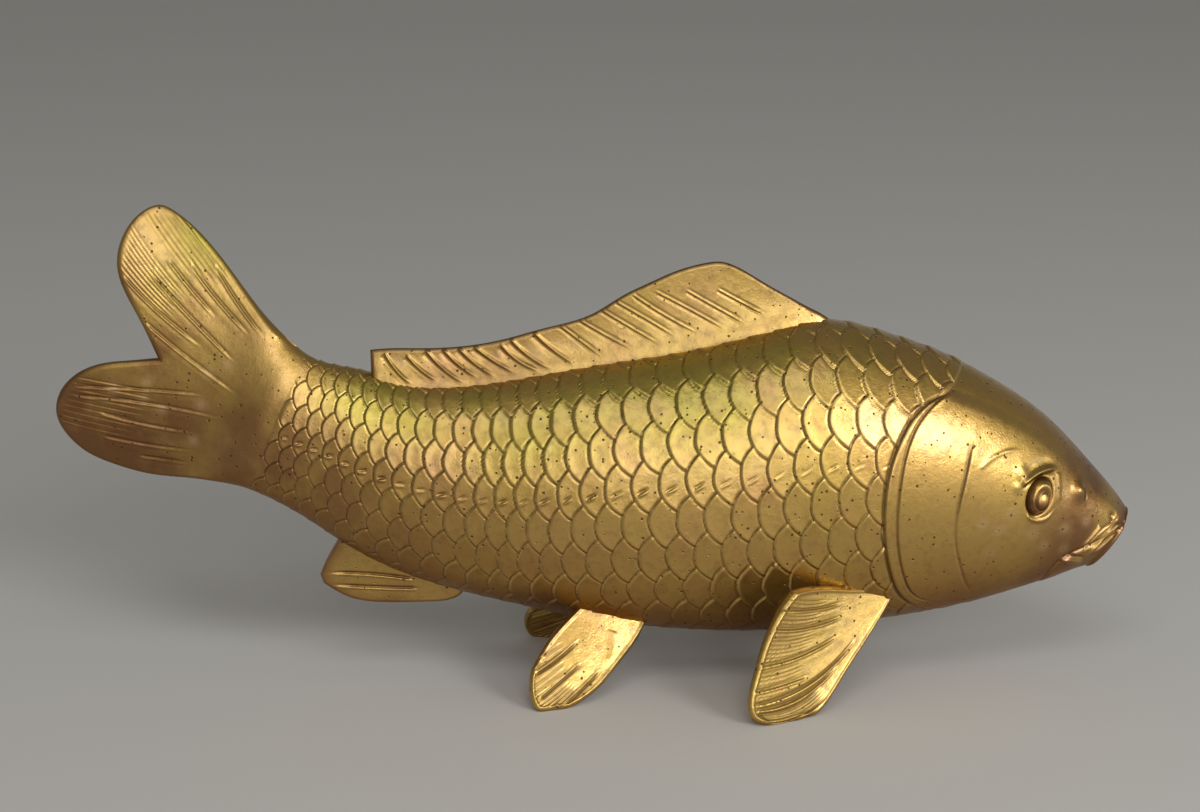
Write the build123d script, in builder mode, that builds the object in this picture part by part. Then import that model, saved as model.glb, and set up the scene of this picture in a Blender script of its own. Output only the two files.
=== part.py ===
"""Cast brass carp figure that stands on its four paired fins.

Millimetres. +X is towards the snout, +Z is up, and the near side in most views is -Y,
which is the fish's own right. The origin is on the floor under the middle of the figure.
The body is a hollow casting in two halves that meet on the middle plane. Every fin is a
casting of its own, held by a tang or a peg, and the eyes are domed studs.
"""
import os
from math import cos, radians, sin

from build123d import *

os.makedirs("parts", exist_ok=True)

# Whole figure
figure_length = 400
body_depth = 117.2
body_width = 72
belly_clearance = 18

# Castings and their fits
shell_wall = 3
fit_clearance = 0.2
pin_clearance = 0.05
cut_overrun = 2
ridge_power = 1.12
keel_power = 0.86
flank_steps = 12
normal_step_share = 0.1

# Body stations from the tail to the mouth: place along the figure and half width of the
# section as shares of the length and the width, height of its centre and half height as
# shares of the depth, and the forward lean of the section in degrees
body_shares = [
    (-0.3025, 0.716, 0.241, 0.153, 25.4),
    (-0.2823, 0.683, 0.236, 0.174, 25.4),
    (-0.2468, 0.631, 0.256, 0.208, 20.4),
    (-0.2018, 0.553, 0.291, 0.257, 13.0),
    (-0.1435, 0.497, 0.331, 0.3125, 5.8),
    (-0.0728, 0.474, 0.378, 0.382, 1.4),
    (0.0, 0.466, 0.426, 0.444, 0.0),
    (0.0763, 0.469, 0.461, 0.483, -1.1),
    (0.15, 0.492, 0.493, 0.5, -0.9),
    (0.2138, 0.512, 0.5, 0.493, -1.4),
    (0.2713, 0.5, 0.464, 0.465, -1.3),
    (0.3213, 0.48, 0.417, 0.424, -0.5),
    (0.3683, 0.449, 0.352, 0.375, 2.3),
    (0.4073, 0.406, 0.282, 0.3125, 8.1),
    (0.4395, 0.352, 0.207, 0.243, 16.6),
    (0.4628, 0.313, 0.151, 0.181, 27.6),
    (0.478, 0.287, 0.114, 0.132, 36.0),
]
mouth_station = len(body_shares) - 1
cavity_stations = mouth_station - 1

# Gill cover band: station and angle up the flank, along its rear and front lines
gill_relief = 0.9
gill_rear_shares = [
    (10.8, 49), (10.49, 42.5), (10.02, 27), (9.78, 13),
    (9.68, -1.5), (9.69, -14.5), (9.82, -32), (10.05, -47),
]
gill_front_shares = [(10.5, -51), (10.1, -37), (9.93, -19.5), (9.9, -5.7), (9.95, 7.5), (10.1, 22.5), (10.42, 37)]

# Mouth: the raised lip round the slanted end of the snout, and the blind opening in it
lip_height = 0.7
lip_forward = 1.1
lip_band = 2.4
lip_round = 0.5
mouth_depth = 9
mouth_high_share = 0.62
mouth_wide_share = 0.5

# Eye: an oval stud in a raised oval rim
eye_station_share = 12.8
eye_angle = 13
eye_half_width = 5
eye_half_height = 6.4
eye_rise = 1.9
eye_round = 1.5
eye_seat = 1.2
eye_rim_width = 1.7
eye_rim_rise = 1.1
eye_rim_round = 0.6
pupil_radius = 2
pupil_rise = 0.5
eye_shank_radius = 1.5
eye_shank_length = 5

# Nostril
nostril_station_share = 13.78
nostril_angle = 32
nostril_radius = 2.2
nostril_sink = 0.9

# Dorsal fin: station along the back, and height as a share of the fin's height
dorsal_height = 30
dorsal_root_depth = 6
dorsal_root_half = 4.6
dorsal_edge_half = 1.1
dorsal_shares = [
    (2.28, 0.29), (2.8, 0.38), (4.04, 0.45), (4.77, 0.48), (5.29, 0.53),
    (5.98, 0.63), (6.26, 0.76), (6.61, 0.88), (6.93, 0.97), (7.28, 1.0),
    (7.52, 0.98), (7.73, 0.86), (8.1, 0.62), (8.45, 0.42), (8.7, 0.26), (8.88, 0.13), (9.0, 0.04),
]
dorsal_tang_shares = (3.4, 5.4, 7.6)

# Anal fin: places from its front end along the keel and down, as shares of its size
anal_depth = 20.5
anal_front_share = 4.24
anal_rear_share = 2.55
anal_root_depth = 6
anal_root_half = 3.2
anal_edge_half = 1.1
anal_shares = [
    (-0.06, 0.08), (0.16, 0.5), (0.43, 0.8), (0.71, 0.99),
    (0.94, 0.93), (0.99, 0.8), (0.995, 0.45), (0.985, 0.11),
]

# Tail fin: places back from its root and up, as shares of its length and half spread
tail_length = 76
tail_half_spread = 54.7
tail_upper_shares = [
    (0.18, 0.6), (0.42, 0.764), (0.61, 0.901), (0.81, 0.995), (0.9, 0.995),
    (0.968, 0.9), (1.0, 0.7), (0.972, 0.54), (0.78, 0.275), (0.616, 0.075),
]
tail_lower_shares = [
    (0.735, -0.02), (0.86, -0.128), (0.94, -0.258), (0.976, -0.424), (0.943, -0.6),
    (0.86, -0.7), (0.74, -0.762), (0.6, -0.764), (0.42, -0.72), (0.207, -0.6),
]
# Blade sections: distance back, half height, half thickness and sideways curve
tail_blade_half = 11
tail_blade_shares = [
    (0.12, 0.57, 0.7, 0.01),
    (0.29, 0.8, 0.42, 0.095),
    (0.55, 1.13, 0.2, 0.256),
    (1.06, 1.39, 0.125, 0.385),
]
tenon_end_share = 1.3
tenon_clearance = 0.6
tail_pin_shares = (-0.42, 0.42)

# Paired fins: where each leaves the body, where its tip stands, and its outline as
# places along the line from root to tip and across it, as shares of its length and chord
pectoral_station_share = 9.62
pectoral_angle = -50
pectoral_sweep = 45
pectoral_spread = 56.7
pectoral_chord = 40.5
pectoral_lean_shares = (-1.0, -0.44, 0.31)
pectoral_root_half = 3
pectoral_curve = 5
pectoral_blade_shares = [(-0.25, 0.22, 0.75, 1.0), (0.3, 0.22, 0.8, 0.72), (1.2, 0.22, 0.8, 0.46)]
pectoral_shares = [
    (-0.14, 0.0), (0.05, 0.27), (0.22, 0.535), (0.345, 0.69), (0.385, 0.725), (0.47, 0.71),
    (0.6, 0.65), (0.73, 0.555), (0.86, 0.422), (0.975, 0.29), (1.03, 0.14), (1.02, -0.02),
    (0.9, -0.19), (0.76, -0.28), (0.6, -0.285), (0.42, -0.23), (0.22, -0.18), (0.0, -0.13),
]
pelvic_station_share = 6.1
pelvic_angle = -64
pelvic_sweep = 22.5
pelvic_spread = 38
pelvic_chord = 28
pelvic_lean_shares = (1.0, 0.13, -0.24)
pelvic_root_half = 2.8
pelvic_curve = 1.5
pelvic_blade_shares = [(-0.35, 0.0, 0.8, 1.0), (0.4, 0.0, 0.85, 0.72), (1.25, 0.0, 0.85, 0.46)]
pelvic_shares = [
    (-0.22, -0.38), (-0.2, 0.42), (0.0, 0.45), (0.33, 0.415), (0.61, 0.355), (0.79, 0.26),
    (0.93, 0.13), (1.05, 0.0), (1.08, -0.17), (1.03, -0.32), (0.96, -0.41), (0.88, -0.48),
    (0.8, -0.525), (0.49, -0.55), (0.15, -0.47),
]

# Tangs, pegs and pins
tang_length = 14
tang_half = 1.7
tang_reach = 13
peg_radius = 2.3
peg_length = 7
peg_seat = 4
boss_radius = 4.5
boss_half = 14
peg_boss_radius = 5
pin_radius = 1.5
pin_half = 9
pin_depth = 9
keel_pin_shares = (5.4, 7.4, 9.3, 11.4)
ridge_pin_shares = (9.8, 11.6)


def body_at(station):
    """Place, rise, half height, half width and lean of the body at any station."""
    lower = min(int(station), mouth_station - 1)
    step = station - lower
    low, high = body_shares[lower], body_shares[lower + 1]
    along, rise, high_share, wide_share, lean = [a + (b - a) * step for a, b in zip(low, high)]
    centre = belly_clearance + rise * body_depth
    return along * figure_length, centre, high_share * body_depth, wide_share * body_width, lean


def flank_share(angle):
    """Width of the section at an angle up the flank: slim at the ridge, full at the keel."""
    power = ridge_power if angle > 0 else keel_power
    power = 1 + (power - 1) * abs(sin(radians(angle)))
    return abs(cos(radians(angle))) ** power


def section_plane(station):
    """Plane square to the body's axis, with its Y towards the back."""
    along, centre, high, wide, lean = body_at(station)
    return Plane((along, 0, centre), x_dir=(0, 1, 0), z_dir=(cos(radians(lean)), 0, -sin(radians(lean))))


def body_point(station, angle):
    """Point on the right flank, from the keel at -90 degrees to the ridge at 90."""
    along, centre, high, wide, lean = body_at(station)
    up = high * sin(radians(angle))
    return Vector(along + up * sin(radians(lean)), -wide * flank_share(angle), centre + up * cos(radians(lean)))


def body_normal(station, angle):
    """Outward direction of the right flank, from two short chords on it."""
    chord_along = body_point(station + normal_step_share, angle) - body_point(station - normal_step_share, angle)
    chord_up = body_point(station, angle + 1) - body_point(station, angle - 1)
    return chord_along.cross(chord_up).normalized()


def flank(side, half_height, half_width, curve):
    """Points up one side of a section from keel to ridge, bent sideways by curve at its ends."""
    points = []
    for step in range(flank_steps + 1):
        angle = -90 + 180 * step / flank_steps
        up_share = sin(radians(angle))
        points.append((curve * up_share**2 + side * half_width * flank_share(angle), half_height * up_share))
    return points


def body_section(station, growth):
    """Section of the body at a station, grown or shrunk by one amount and round at both ends."""
    along, centre, high, wide, lean = body_at(station)
    with BuildSketch(section_plane(station)) as outline:
        with BuildLine():
            Spline(*flank(1, high + growth, wide + growth, 0))
            Spline(*flank(-1, high + growth, wide + growth, 0))
        make_face()
    return outline.sketch


def blade_section(plane, half_height, half_width, curve):
    """Thin section of a fin's blade, which follows a shallow curve."""
    with BuildSketch(plane) as outline:
        with BuildLine():
            Spline(*flank(1, half_height, half_width, curve))
            Spline(*flank(-1, half_height, half_width, curve))
        make_face()
    return outline.sketch


def flank_points(shares):
    """Points on the right flank for a list of stations and angles."""
    return [body_point(station, angle) for station, angle in shares]


def pin_plane(station, angle):
    """Plane across the figure, a pin's depth inside the ridge or the keel."""
    edge = body_point(station, angle)
    inwards = -pin_depth if angle > 0 else pin_depth
    return Plane((edge.X, 0, edge.Z + inwards), x_dir=(1, 0, 0), z_dir=(0, 1, 0))


root_along, root_rise, root_half_height, root_half_width, root_lean = body_at(0)
root_plane = section_plane(0)
tail_plane = Plane(root_plane.origin, x_dir=-root_plane.z_dir, z_dir=(0, 1, 0))
tail_pin_half = root_half_width - shell_wall / 2
mouth_along, mouth_rise, mouth_half_height, mouth_half_width, mouth_lean = body_at(mouth_station)
anal_pin_share = (anal_front_share + anal_rear_share) / 2
anal_front = body_point(anal_front_share, -90)
anal_chord = body_point(anal_rear_share, -90) - anal_front
anal_length = anal_chord.length
keel_plane = Plane(anal_front, x_dir=anal_chord, z_dir=(0, -1, 0))


def tail_pin_plane(share):
    """Plane of a pin through the tail's tenon."""
    spot = section_plane(tenon_end_share / 2).from_local_coords((0, share * root_half_height, 0))
    return Plane(spot, x_dir=(1, 0, 0), z_dir=(0, 1, 0))


top_pin_planes = [pin_plane(share, 90) for share in dorsal_tang_shares]
anal_pin_planes = [pin_plane(anal_pin_share, -90)]
tail_pin_planes = [tail_pin_plane(share) for share in tail_pin_shares]
seam_pin_planes = [pin_plane(share, -90) for share in keel_pin_shares]
seam_pin_planes += [pin_plane(share, 90) for share in ridge_pin_shares]


def draw_pin(plane, radius, half_length, mode=Mode.ADD):
    """Round pin or hole across the middle plane."""
    with BuildSketch(plane) as circle:
        Circle(radius)
    extrude(circle.sketch, amount=half_length, both=True, mode=mode)


def add_tang(share, angle, clearance, mode):
    """Flat tang from just outside the skin into the body, or the slot for it."""
    edge = body_point(share, angle)
    inwards = -1 if angle > 0 else 1
    height = tang_reach + cut_overrun + clearance
    with Locations((edge.X, 0, edge.Z + inwards * (height / 2 - cut_overrun))):
        Box(tang_length + 2 * clearance, 2 * (tang_half + clearance), height, mode=mode)


def paired_fin_plane(station, angle, sweep, spread, lean_shares):
    """Plane of a right paired fin: X from its root to its tip on the floor, Y across it."""
    root = body_point(station, angle)
    towards_tip = Vector(root.X - sweep, -spread, 0) - root
    return Plane(root, x_dir=towards_tip, z_dir=towards_tip.cross(Vector(*lean_shares)))


pectoral_plane = paired_fin_plane(
    pectoral_station_share, pectoral_angle, pectoral_sweep, pectoral_spread, pectoral_lean_shares
)
pectoral_length = Vector(pectoral_sweep, pectoral_spread + pectoral_plane.origin.Y, pectoral_plane.origin.Z).length
pelvic_plane = paired_fin_plane(
    pelvic_station_share, pelvic_angle, pelvic_sweep, pelvic_spread, pelvic_lean_shares
)
pelvic_length = Vector(pelvic_sweep, pelvic_spread + pelvic_plane.origin.Y, pelvic_plane.origin.Z).length


def peg_plane(fin_plane):
    """Plane at a paired fin's root that looks along its peg, into the body."""
    return Plane(fin_plane.origin, x_dir=fin_plane.z_dir, z_dir=-fin_plane.x_dir)


def blade_sections(fin_plane, length, chord, rows, root_half, curve):
    """Sections of a thin curved blade along a fin's plane, wider than the fin's outline."""
    sections = []
    for along, across, high, thick in rows:
        middle = fin_plane.from_local_coords((along * length, across * chord, 0))
        plane = Plane(middle, x_dir=-fin_plane.z_dir, z_dir=fin_plane.x_dir)
        sections.append(blade_section(plane, high * chord, thick * root_half, curve))
    return sections


def fin_outline(fin_plane, length, chord, shares):
    """Closed outline of a paired fin on its plane."""
    with BuildSketch(fin_plane) as outline:
        with BuildLine():
            edge = Spline(*[(along * length, across * chord) for along, across in shares])
            Line(edge @ 1, edge @ 0)
        make_face()
    return outline.sketch


eye_normal = body_normal(eye_station_share, eye_angle)
eye_plane = Plane(
    body_point(eye_station_share, eye_angle), x_dir=Vector(0, 0, 1).cross(eye_normal), z_dir=eye_normal
)

# Outer form of the body, the same form grown by the gill bands' relief, and its hollow
with BuildPart() as body_form:
    loft([body_section(station, 0) for station in range(mouth_station + 1)])

with BuildPart() as gill_form:
    loft([body_section(station, gill_relief) for station in range(mouth_station + 1)])

with BuildPart() as cavity:
    loft([body_section(station, -shell_wall) for station in range(cavity_stations + 1)])

# Gill cover bands, raised from the skin behind the cheeks
with BuildPart() as gill_bands:
    with BuildSketch(Plane.XZ):
        with BuildLine():
            gill_rear = Spline(*[(point.X, point.Z) for point in flank_points(gill_rear_shares)])
            gill_front = Spline(*[(point.X, point.Z) for point in flank_points(gill_front_shares)])
            Line(gill_rear @ 1, gill_front @ 0)
            Line(gill_front @ 1, gill_rear @ 0)
        make_face()
    extrude(amount=body_width, both=True)
    add(gill_form.part, mode=Mode.INTERSECT)

# Raised lip round the mouth
with BuildPart() as lip:
    with BuildSketch(section_plane(mouth_station).offset(lip_forward - lip_band)):
        Ellipse(mouth_half_width + lip_height, mouth_half_height + lip_height)
    extrude(amount=lip_band)
    fillet(lip.faces().sort_by(Axis.X)[-1].edges(), lip_round)

# Raised rims round the eyes
with BuildPart() as eye_rims:
    with BuildSketch(eye_plane.offset(-shell_wall)):
        Ellipse(eye_half_width + eye_rim_width, eye_half_height + eye_rim_width)
    extrude(amount=shell_wall + eye_rim_rise)
    fillet(eye_rims.faces().sort_by(Axis.Y)[0].edges(), eye_rim_round)
    mirror(about=Plane.XZ)

# Bosses inside the skin for the pins and the pegs
with BuildPart() as bosses:
    for plane in top_pin_planes + anal_pin_planes + seam_pin_planes:
        with BuildSketch(plane):
            Circle(boss_radius)
        extrude(amount=boss_half, both=True)
    for plane in (peg_plane(pectoral_plane), peg_plane(pelvic_plane)):
        with BuildSketch(plane.offset(-peg_seat)):
            Circle(peg_boss_radius)
        extrude(amount=peg_seat + peg_length + shell_wall)
    mirror(about=Plane.XZ)
    add(body_form.part, mode=Mode.INTERSECT)

# Sockets and shank holes of the eyes
with BuildPart() as eye_sockets:
    with BuildSketch(eye_plane.offset(-eye_seat)):
        Ellipse(eye_half_width + fit_clearance, eye_half_height + fit_clearance)
    extrude(amount=eye_seat + eye_rim_rise + cut_overrun)
    with BuildSketch(eye_plane):
        Circle(eye_shank_radius + fit_clearance)
    extrude(amount=-(eye_seat + eye_shank_length + fit_clearance))
    mirror(about=Plane.XZ)

# Holes for the pegs and the pins
with BuildPart() as peg_holes:
    for plane in (peg_plane(pectoral_plane), peg_plane(pelvic_plane)):
        with BuildSketch(plane.offset(-peg_seat)):
            Circle(peg_radius + fit_clearance)
        extrude(amount=peg_seat + peg_length + fit_clearance)
    mirror(about=Plane.XZ)

with BuildPart() as pin_holes:
    for plane in top_pin_planes + anal_pin_planes + seam_pin_planes:
        draw_pin(plane, pin_radius + pin_clearance, pin_half + fit_clearance)
    for plane in tail_pin_planes:
        draw_pin(plane, pin_radius + pin_clearance, tail_pin_half + fit_clearance)

# The whole shell before it is parted
with BuildPart() as shell:
    add(body_form.part)
    add(gill_bands.part)
    add(lip.part)
    add(eye_rims.part)
    nostril_middle = body_point(nostril_station_share, nostril_angle)
    nostril_middle -= body_normal(nostril_station_share, nostril_angle) * nostril_sink
    with Locations(nostril_middle, (nostril_middle.X, -nostril_middle.Y, nostril_middle.Z)):
        Sphere(nostril_radius)
    add(cavity.part, mode=Mode.SUBTRACT)
    add(bosses.part)
    with BuildSketch(section_plane(mouth_station).offset(lip_forward - mouth_depth)):
        Ellipse(mouth_half_width * mouth_wide_share, mouth_half_height * mouth_high_share)
    extrude(amount=mouth_depth + cut_overrun, mode=Mode.SUBTRACT)
    add(eye_sockets.part, mode=Mode.SUBTRACT)
    add(peg_holes.part, mode=Mode.SUBTRACT)
    add(pin_holes.part, mode=Mode.SUBTRACT)
    for share in dorsal_tang_shares:
        add_tang(share, 90, fit_clearance, Mode.SUBTRACT)
    add_tang(anal_pin_share, -90, fit_clearance, Mode.SUBTRACT)

with BuildPart() as body_shell_right:
    add(shell.part)
    split(bisect_by=Plane.XZ, keep=Keep.TOP)

with BuildPart() as body_shell_left:
    add(shell.part)
    split(bisect_by=Plane.XZ, keep=Keep.BOTTOM)

# Fins on the middle plane
with BuildPart() as dorsal_fin:
    for share, height_share in dorsal_shares:
        height = height_share * dorsal_height
        with BuildSketch(Plane(body_point(share, 90), x_dir=(0, 1, 0), z_dir=(1, 0, 0))):
            with BuildLine():
                Polyline(
                    (-dorsal_root_half, -dorsal_root_depth),
                    (dorsal_root_half, -dorsal_root_depth),
                    (dorsal_edge_half, height),
                    (-dorsal_edge_half, height),
                    close=True,
                )
            make_face()
    loft()
    add(body_form.part, mode=Mode.SUBTRACT)
    for share in dorsal_tang_shares:
        add_tang(share, 90, 0, Mode.ADD)
    for plane in top_pin_planes:
        draw_pin(plane, pin_radius + pin_clearance, boss_half, Mode.SUBTRACT)

with BuildPart() as anal_wedge:
    for depth, half in ((-anal_root_depth, anal_root_half), (anal_depth, anal_edge_half)):
        middle = keel_plane.from_local_coords((anal_length / 2, depth, 0))
        with BuildSketch(Plane(middle, x_dir=keel_plane.x_dir, z_dir=keel_plane.y_dir)):
            Rectangle(2 * anal_length, 2 * half)
    loft()

with BuildPart() as anal_fin:
    with BuildSketch(keel_plane):
        with BuildLine():
            anal_edge = Spline(*[(along * anal_length, down * anal_depth) for along, down in anal_shares])
            Polyline(
                anal_edge @ 1,
                ((anal_edge @ 1).X, -anal_root_depth),
                ((anal_edge @ 0).X, -anal_root_depth),
                anal_edge @ 0,
            )
        make_face()
    extrude(amount=anal_root_half + cut_overrun, both=True)
    add(anal_wedge.part, mode=Mode.INTERSECT)
    add(body_form.part, mode=Mode.SUBTRACT)
    add_tang(anal_pin_share, -90, 0, Mode.ADD)
    for plane in anal_pin_planes:
        draw_pin(plane, pin_radius + pin_clearance, boss_half, Mode.SUBTRACT)

with BuildPart() as tail_blade:
    tail_sections = [body_section(0, 0)]
    for back, high, thick, curve in tail_blade_shares:
        blade_plane = root_plane.offset(-back * tail_length)
        half_height, half_width = high * tail_half_spread, thick * root_half_width
        tail_sections.append(blade_section(blade_plane, half_height, half_width, curve * tail_half_spread))
    loft(tail_sections[:2])
    loft(tail_sections[1:])

with BuildPart() as tail_fin:
    with BuildSketch(tail_plane):
        with BuildLine():
            upper_points = [(back * tail_length, up * tail_half_spread) for back, up in tail_upper_shares]
            lower_points = [(back * tail_length, up * tail_half_spread) for back, up in tail_lower_shares]
            Spline((0, root_half_height), *upper_points)
            Spline(upper_points[-1], *lower_points, (0, -root_half_height))
            Line((0, -root_half_height), (0, root_half_height))
        make_face()
    extrude(amount=tail_half_spread, both=True)
    add(tail_blade.part, mode=Mode.INTERSECT)
    tenon_stations = (0, tenon_end_share / 2, tenon_end_share)
    loft([body_section(station, -(shell_wall + tenon_clearance)) for station in tenon_stations])
    for plane in tail_pin_planes:
        draw_pin(plane, pin_radius + pin_clearance, tail_pin_half, Mode.SUBTRACT)

# Paired fins
with BuildPart() as pectoral_blade:
    loft(
        blade_sections(
            pectoral_plane, pectoral_length, pectoral_chord, pectoral_blade_shares, pectoral_root_half, pectoral_curve
        )
    )

with BuildPart() as pectoral_fin_right:
    pectoral_outline = fin_outline(pectoral_plane, pectoral_length, pectoral_chord, pectoral_shares)
    extrude(pectoral_outline, amount=pectoral_chord / 2, both=True)
    add(pectoral_blade.part, mode=Mode.INTERSECT)
    add(body_form.part, mode=Mode.SUBTRACT)
    split(bisect_by=Plane.XY, keep=Keep.TOP)
    with BuildSketch(peg_plane(pectoral_plane).offset(-peg_seat)):
        Circle(peg_radius)
    extrude(amount=peg_seat + peg_length)

with BuildPart() as pectoral_fin_left:
    add(mirror(pectoral_fin_right.part, about=Plane.XZ))

with BuildPart() as pelvic_blade:
    loft(
        blade_sections(
            pelvic_plane, pelvic_length, pelvic_chord, pelvic_blade_shares, pelvic_root_half, pelvic_curve
        )
    )

with BuildPart() as pelvic_fin_right:
    pelvic_outline = fin_outline(pelvic_plane, pelvic_length, pelvic_chord, pelvic_shares)
    extrude(pelvic_outline, amount=pelvic_chord / 2, both=True)
    add(pelvic_blade.part, mode=Mode.INTERSECT)
    add(body_form.part, mode=Mode.SUBTRACT)
    split(bisect_by=Plane.XY, keep=Keep.TOP)
    with BuildSketch(peg_plane(pelvic_plane).offset(-peg_seat)):
        Circle(peg_radius)
    extrude(amount=peg_seat + peg_length)

with BuildPart() as pelvic_fin_left:
    add(mirror(pelvic_fin_right.part, about=Plane.XZ))

# Eyes
with BuildPart() as eye_right:
    with BuildSketch(eye_plane.offset(-eye_seat)):
        Ellipse(eye_half_width, eye_half_height)
    extrude(amount=eye_seat + eye_rise)
    fillet(eye_right.faces().sort_by(Axis.Y)[0].edges(), eye_round)
    with BuildSketch(eye_plane.offset(eye_rise)):
        Circle(pupil_radius)
    extrude(amount=pupil_rise)
    with BuildSketch(eye_plane.offset(-eye_seat)):
        Circle(eye_shank_radius)
    extrude(amount=-eye_shank_length)

with BuildPart() as eye_left:
    add(mirror(eye_right.part, about=Plane.XZ))

# Pins
with BuildPart() as fin_pins:
    for plane in top_pin_planes + anal_pin_planes:
        draw_pin(plane, pin_radius, pin_half)
    for plane in tail_pin_planes:
        draw_pin(plane, pin_radius, tail_pin_half)

with BuildPart() as seam_pins:
    for plane in seam_pin_planes:
        draw_pin(plane, pin_radius, pin_half)

finished = {
    "body_shell_right": body_shell_right,
    "body_shell_left": body_shell_left,
    "dorsal_fin": dorsal_fin,
    "anal_fin": anal_fin,
    "tail_fin": tail_fin,
    "pectoral_fin_right": pectoral_fin_right,
    "pectoral_fin_left": pectoral_fin_left,
    "pelvic_fin_right": pelvic_fin_right,
    "pelvic_fin_left": pelvic_fin_left,
    "eye_right": eye_right,
    "eye_left": eye_left,
    "fin_pins": fin_pins,
    "seam_pins": seam_pins,
}
for name, piece in finished.items():
    piece.part.label = name
    export_step(piece.part, f"parts/{name}.step")
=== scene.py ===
"""Looks of a cast brass carp that stands on its paired fins, built round its CAD frame.

Metres, +X towards the snout, +Z up, the fish's right side at -Y. Shapes are worked out in
millimetres as numpy grids and put into the meshes in metres. A place on the body is a station
u, from 0 at the tail root to 16 at the mouth, and an angle t up the flank, from -90 degrees at
the keel to 90 at the ridge.
"""
import math

import bpy
import numpy as np
from bpy.props import FloatProperty, FloatVectorProperty, IntProperty, PointerProperty
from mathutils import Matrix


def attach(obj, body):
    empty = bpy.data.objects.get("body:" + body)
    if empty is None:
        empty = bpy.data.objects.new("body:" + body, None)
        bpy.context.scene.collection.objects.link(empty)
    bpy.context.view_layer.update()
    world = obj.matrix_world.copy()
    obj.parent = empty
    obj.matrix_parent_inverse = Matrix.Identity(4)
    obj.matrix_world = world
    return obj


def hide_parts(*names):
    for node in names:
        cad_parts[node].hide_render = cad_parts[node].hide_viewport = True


bl_info = {
    "name": "Cast brass carp",
    "version": (1, 0, 0),
    "blender": (4, 5, 0),
    "location": "3D View > Sidebar > Carp",
    "description": "Builds the scales, fins, eyes and finish of a cast brass carp on its CAD frame",
    "category": "Add Mesh",
}

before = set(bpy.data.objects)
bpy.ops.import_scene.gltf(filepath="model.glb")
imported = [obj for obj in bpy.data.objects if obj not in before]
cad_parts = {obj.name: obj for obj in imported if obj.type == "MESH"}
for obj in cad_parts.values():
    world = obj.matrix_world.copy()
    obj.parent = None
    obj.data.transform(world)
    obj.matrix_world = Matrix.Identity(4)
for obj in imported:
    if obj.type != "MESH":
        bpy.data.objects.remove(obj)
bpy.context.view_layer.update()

MM = 0.001


class SmoothCurve:
    """Cubic through values at given places, with no bend at its two ends."""

    def __init__(self, places, values):
        self.places = np.array(places, float)
        self.values = np.array(values, float)
        self.gaps = np.diff(self.places)
        shape = (-1,) + (1,) * (self.values.ndim - 1)
        rise = np.diff(self.values, axis=0) / self.gaps.reshape(shape)
        system = np.eye(len(self.places))
        inner = np.arange(1, len(self.places) - 1)
        system[inner, inner - 1] = self.gaps[:-1]
        system[inner, inner] = 2 * (self.gaps[:-1] + self.gaps[1:])
        system[inner, inner + 1] = self.gaps[1:]
        known = np.zeros_like(self.values)
        known[1:-1] = 6 * np.diff(rise, axis=0)
        self.bends = np.linalg.solve(system, known)

    def at(self, where):
        """Value in each span: the straight blend of its ends, and their bends' cubic share."""
        span = np.clip(np.searchsorted(self.places, where) - 1, 0, len(self.places) - 2)
        gap = self.gaps[span]
        late = (where - self.places[span]) / gap
        extra = (...,) + (None,) * (self.values.ndim - 1)
        gap, late = gap[extra], late[extra]
        early = 1 - late
        straight = early * self.values[span] + late * self.values[span + 1]
        bent = (early**3 - early) * self.bends[span] + (late**3 - late) * self.bends[span + 1]
        return straight + bent * gap**2 / 6


# Body stations: x, height of the centre, half height and half width, as shares of the figure's
# length, depth and width, and the forward lean of the section in degrees. The lift raises the
# body off the floor. Sizes in mm.
LENGTH, DEPTH, WIDTH, LIFT = 400, 117.2, 72, 18
BODY_SHARES = (
    (-0.3025, 0.716, 0.241, 0.153, 25.4),
    (-0.2823, 0.683, 0.236, 0.174, 25.4),
    (-0.2468, 0.631, 0.256, 0.208, 20.4),
    (-0.2018, 0.553, 0.291, 0.257, 13.0),
    (-0.1435, 0.497, 0.331, 0.3125, 5.8),
    (-0.0728, 0.474, 0.378, 0.382, 1.4),
    (0.0, 0.466, 0.426, 0.444, 0.0),
    (0.0763, 0.469, 0.461, 0.483, -1.1),
    (0.15, 0.492, 0.493, 0.5, -0.9),
    (0.2138, 0.512, 0.5, 0.493, -1.4),
    (0.2713, 0.5, 0.464, 0.465, -1.3),
    (0.3213, 0.48, 0.417, 0.424, -0.5),
    (0.3683, 0.449, 0.352, 0.375, 2.3),
    (0.4073, 0.406, 0.282, 0.3125, 8.1),
    (0.4395, 0.352, 0.207, 0.243, 16.6),
    (0.4628, 0.313, 0.151, 0.181, 27.6),
    (0.478, 0.287, 0.114, 0.132, 36.0),
)
BODY = SmoothCurve(
    range(len(BODY_SHARES)),
    np.array(BODY_SHARES) * (LENGTH, DEPTH, DEPTH, WIDTH, 1) + (0, LIFT, 0, 0, 0),
)
MOUTH_STATION = 16

# Powers of the cosine that slim the ridge and fill out the keel
RIDGE_POWER = 1.12
KEEL_POWER = 0.86

# Scales: their spacing in mm at places along the body, the rows between the lateral line and
# the ridge, how far each row is shifted against the one below it, and how deep the free edge
# curves with the square and the fourth power of the distance from the row's middle
SPACING = SmoothCurve(
    (-140, -125, -100, -90, -75, -60, -40, -25, 0, 20, 45, 60, 80, 105, 130, 220),
    (4.8, 5.0, 5.5, 6.2, 7.1, 7.7, 7.3, 7.7, 9.2, 10.1, 9.6, 9.6, 10.0, 9.7, 9.0, 8.5),
)
ROWS_ABOVE = 4
ROW_SHIFT = 0.27
EDGE_CURVE, EDGE_TIP = 1.81, 1.2

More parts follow.
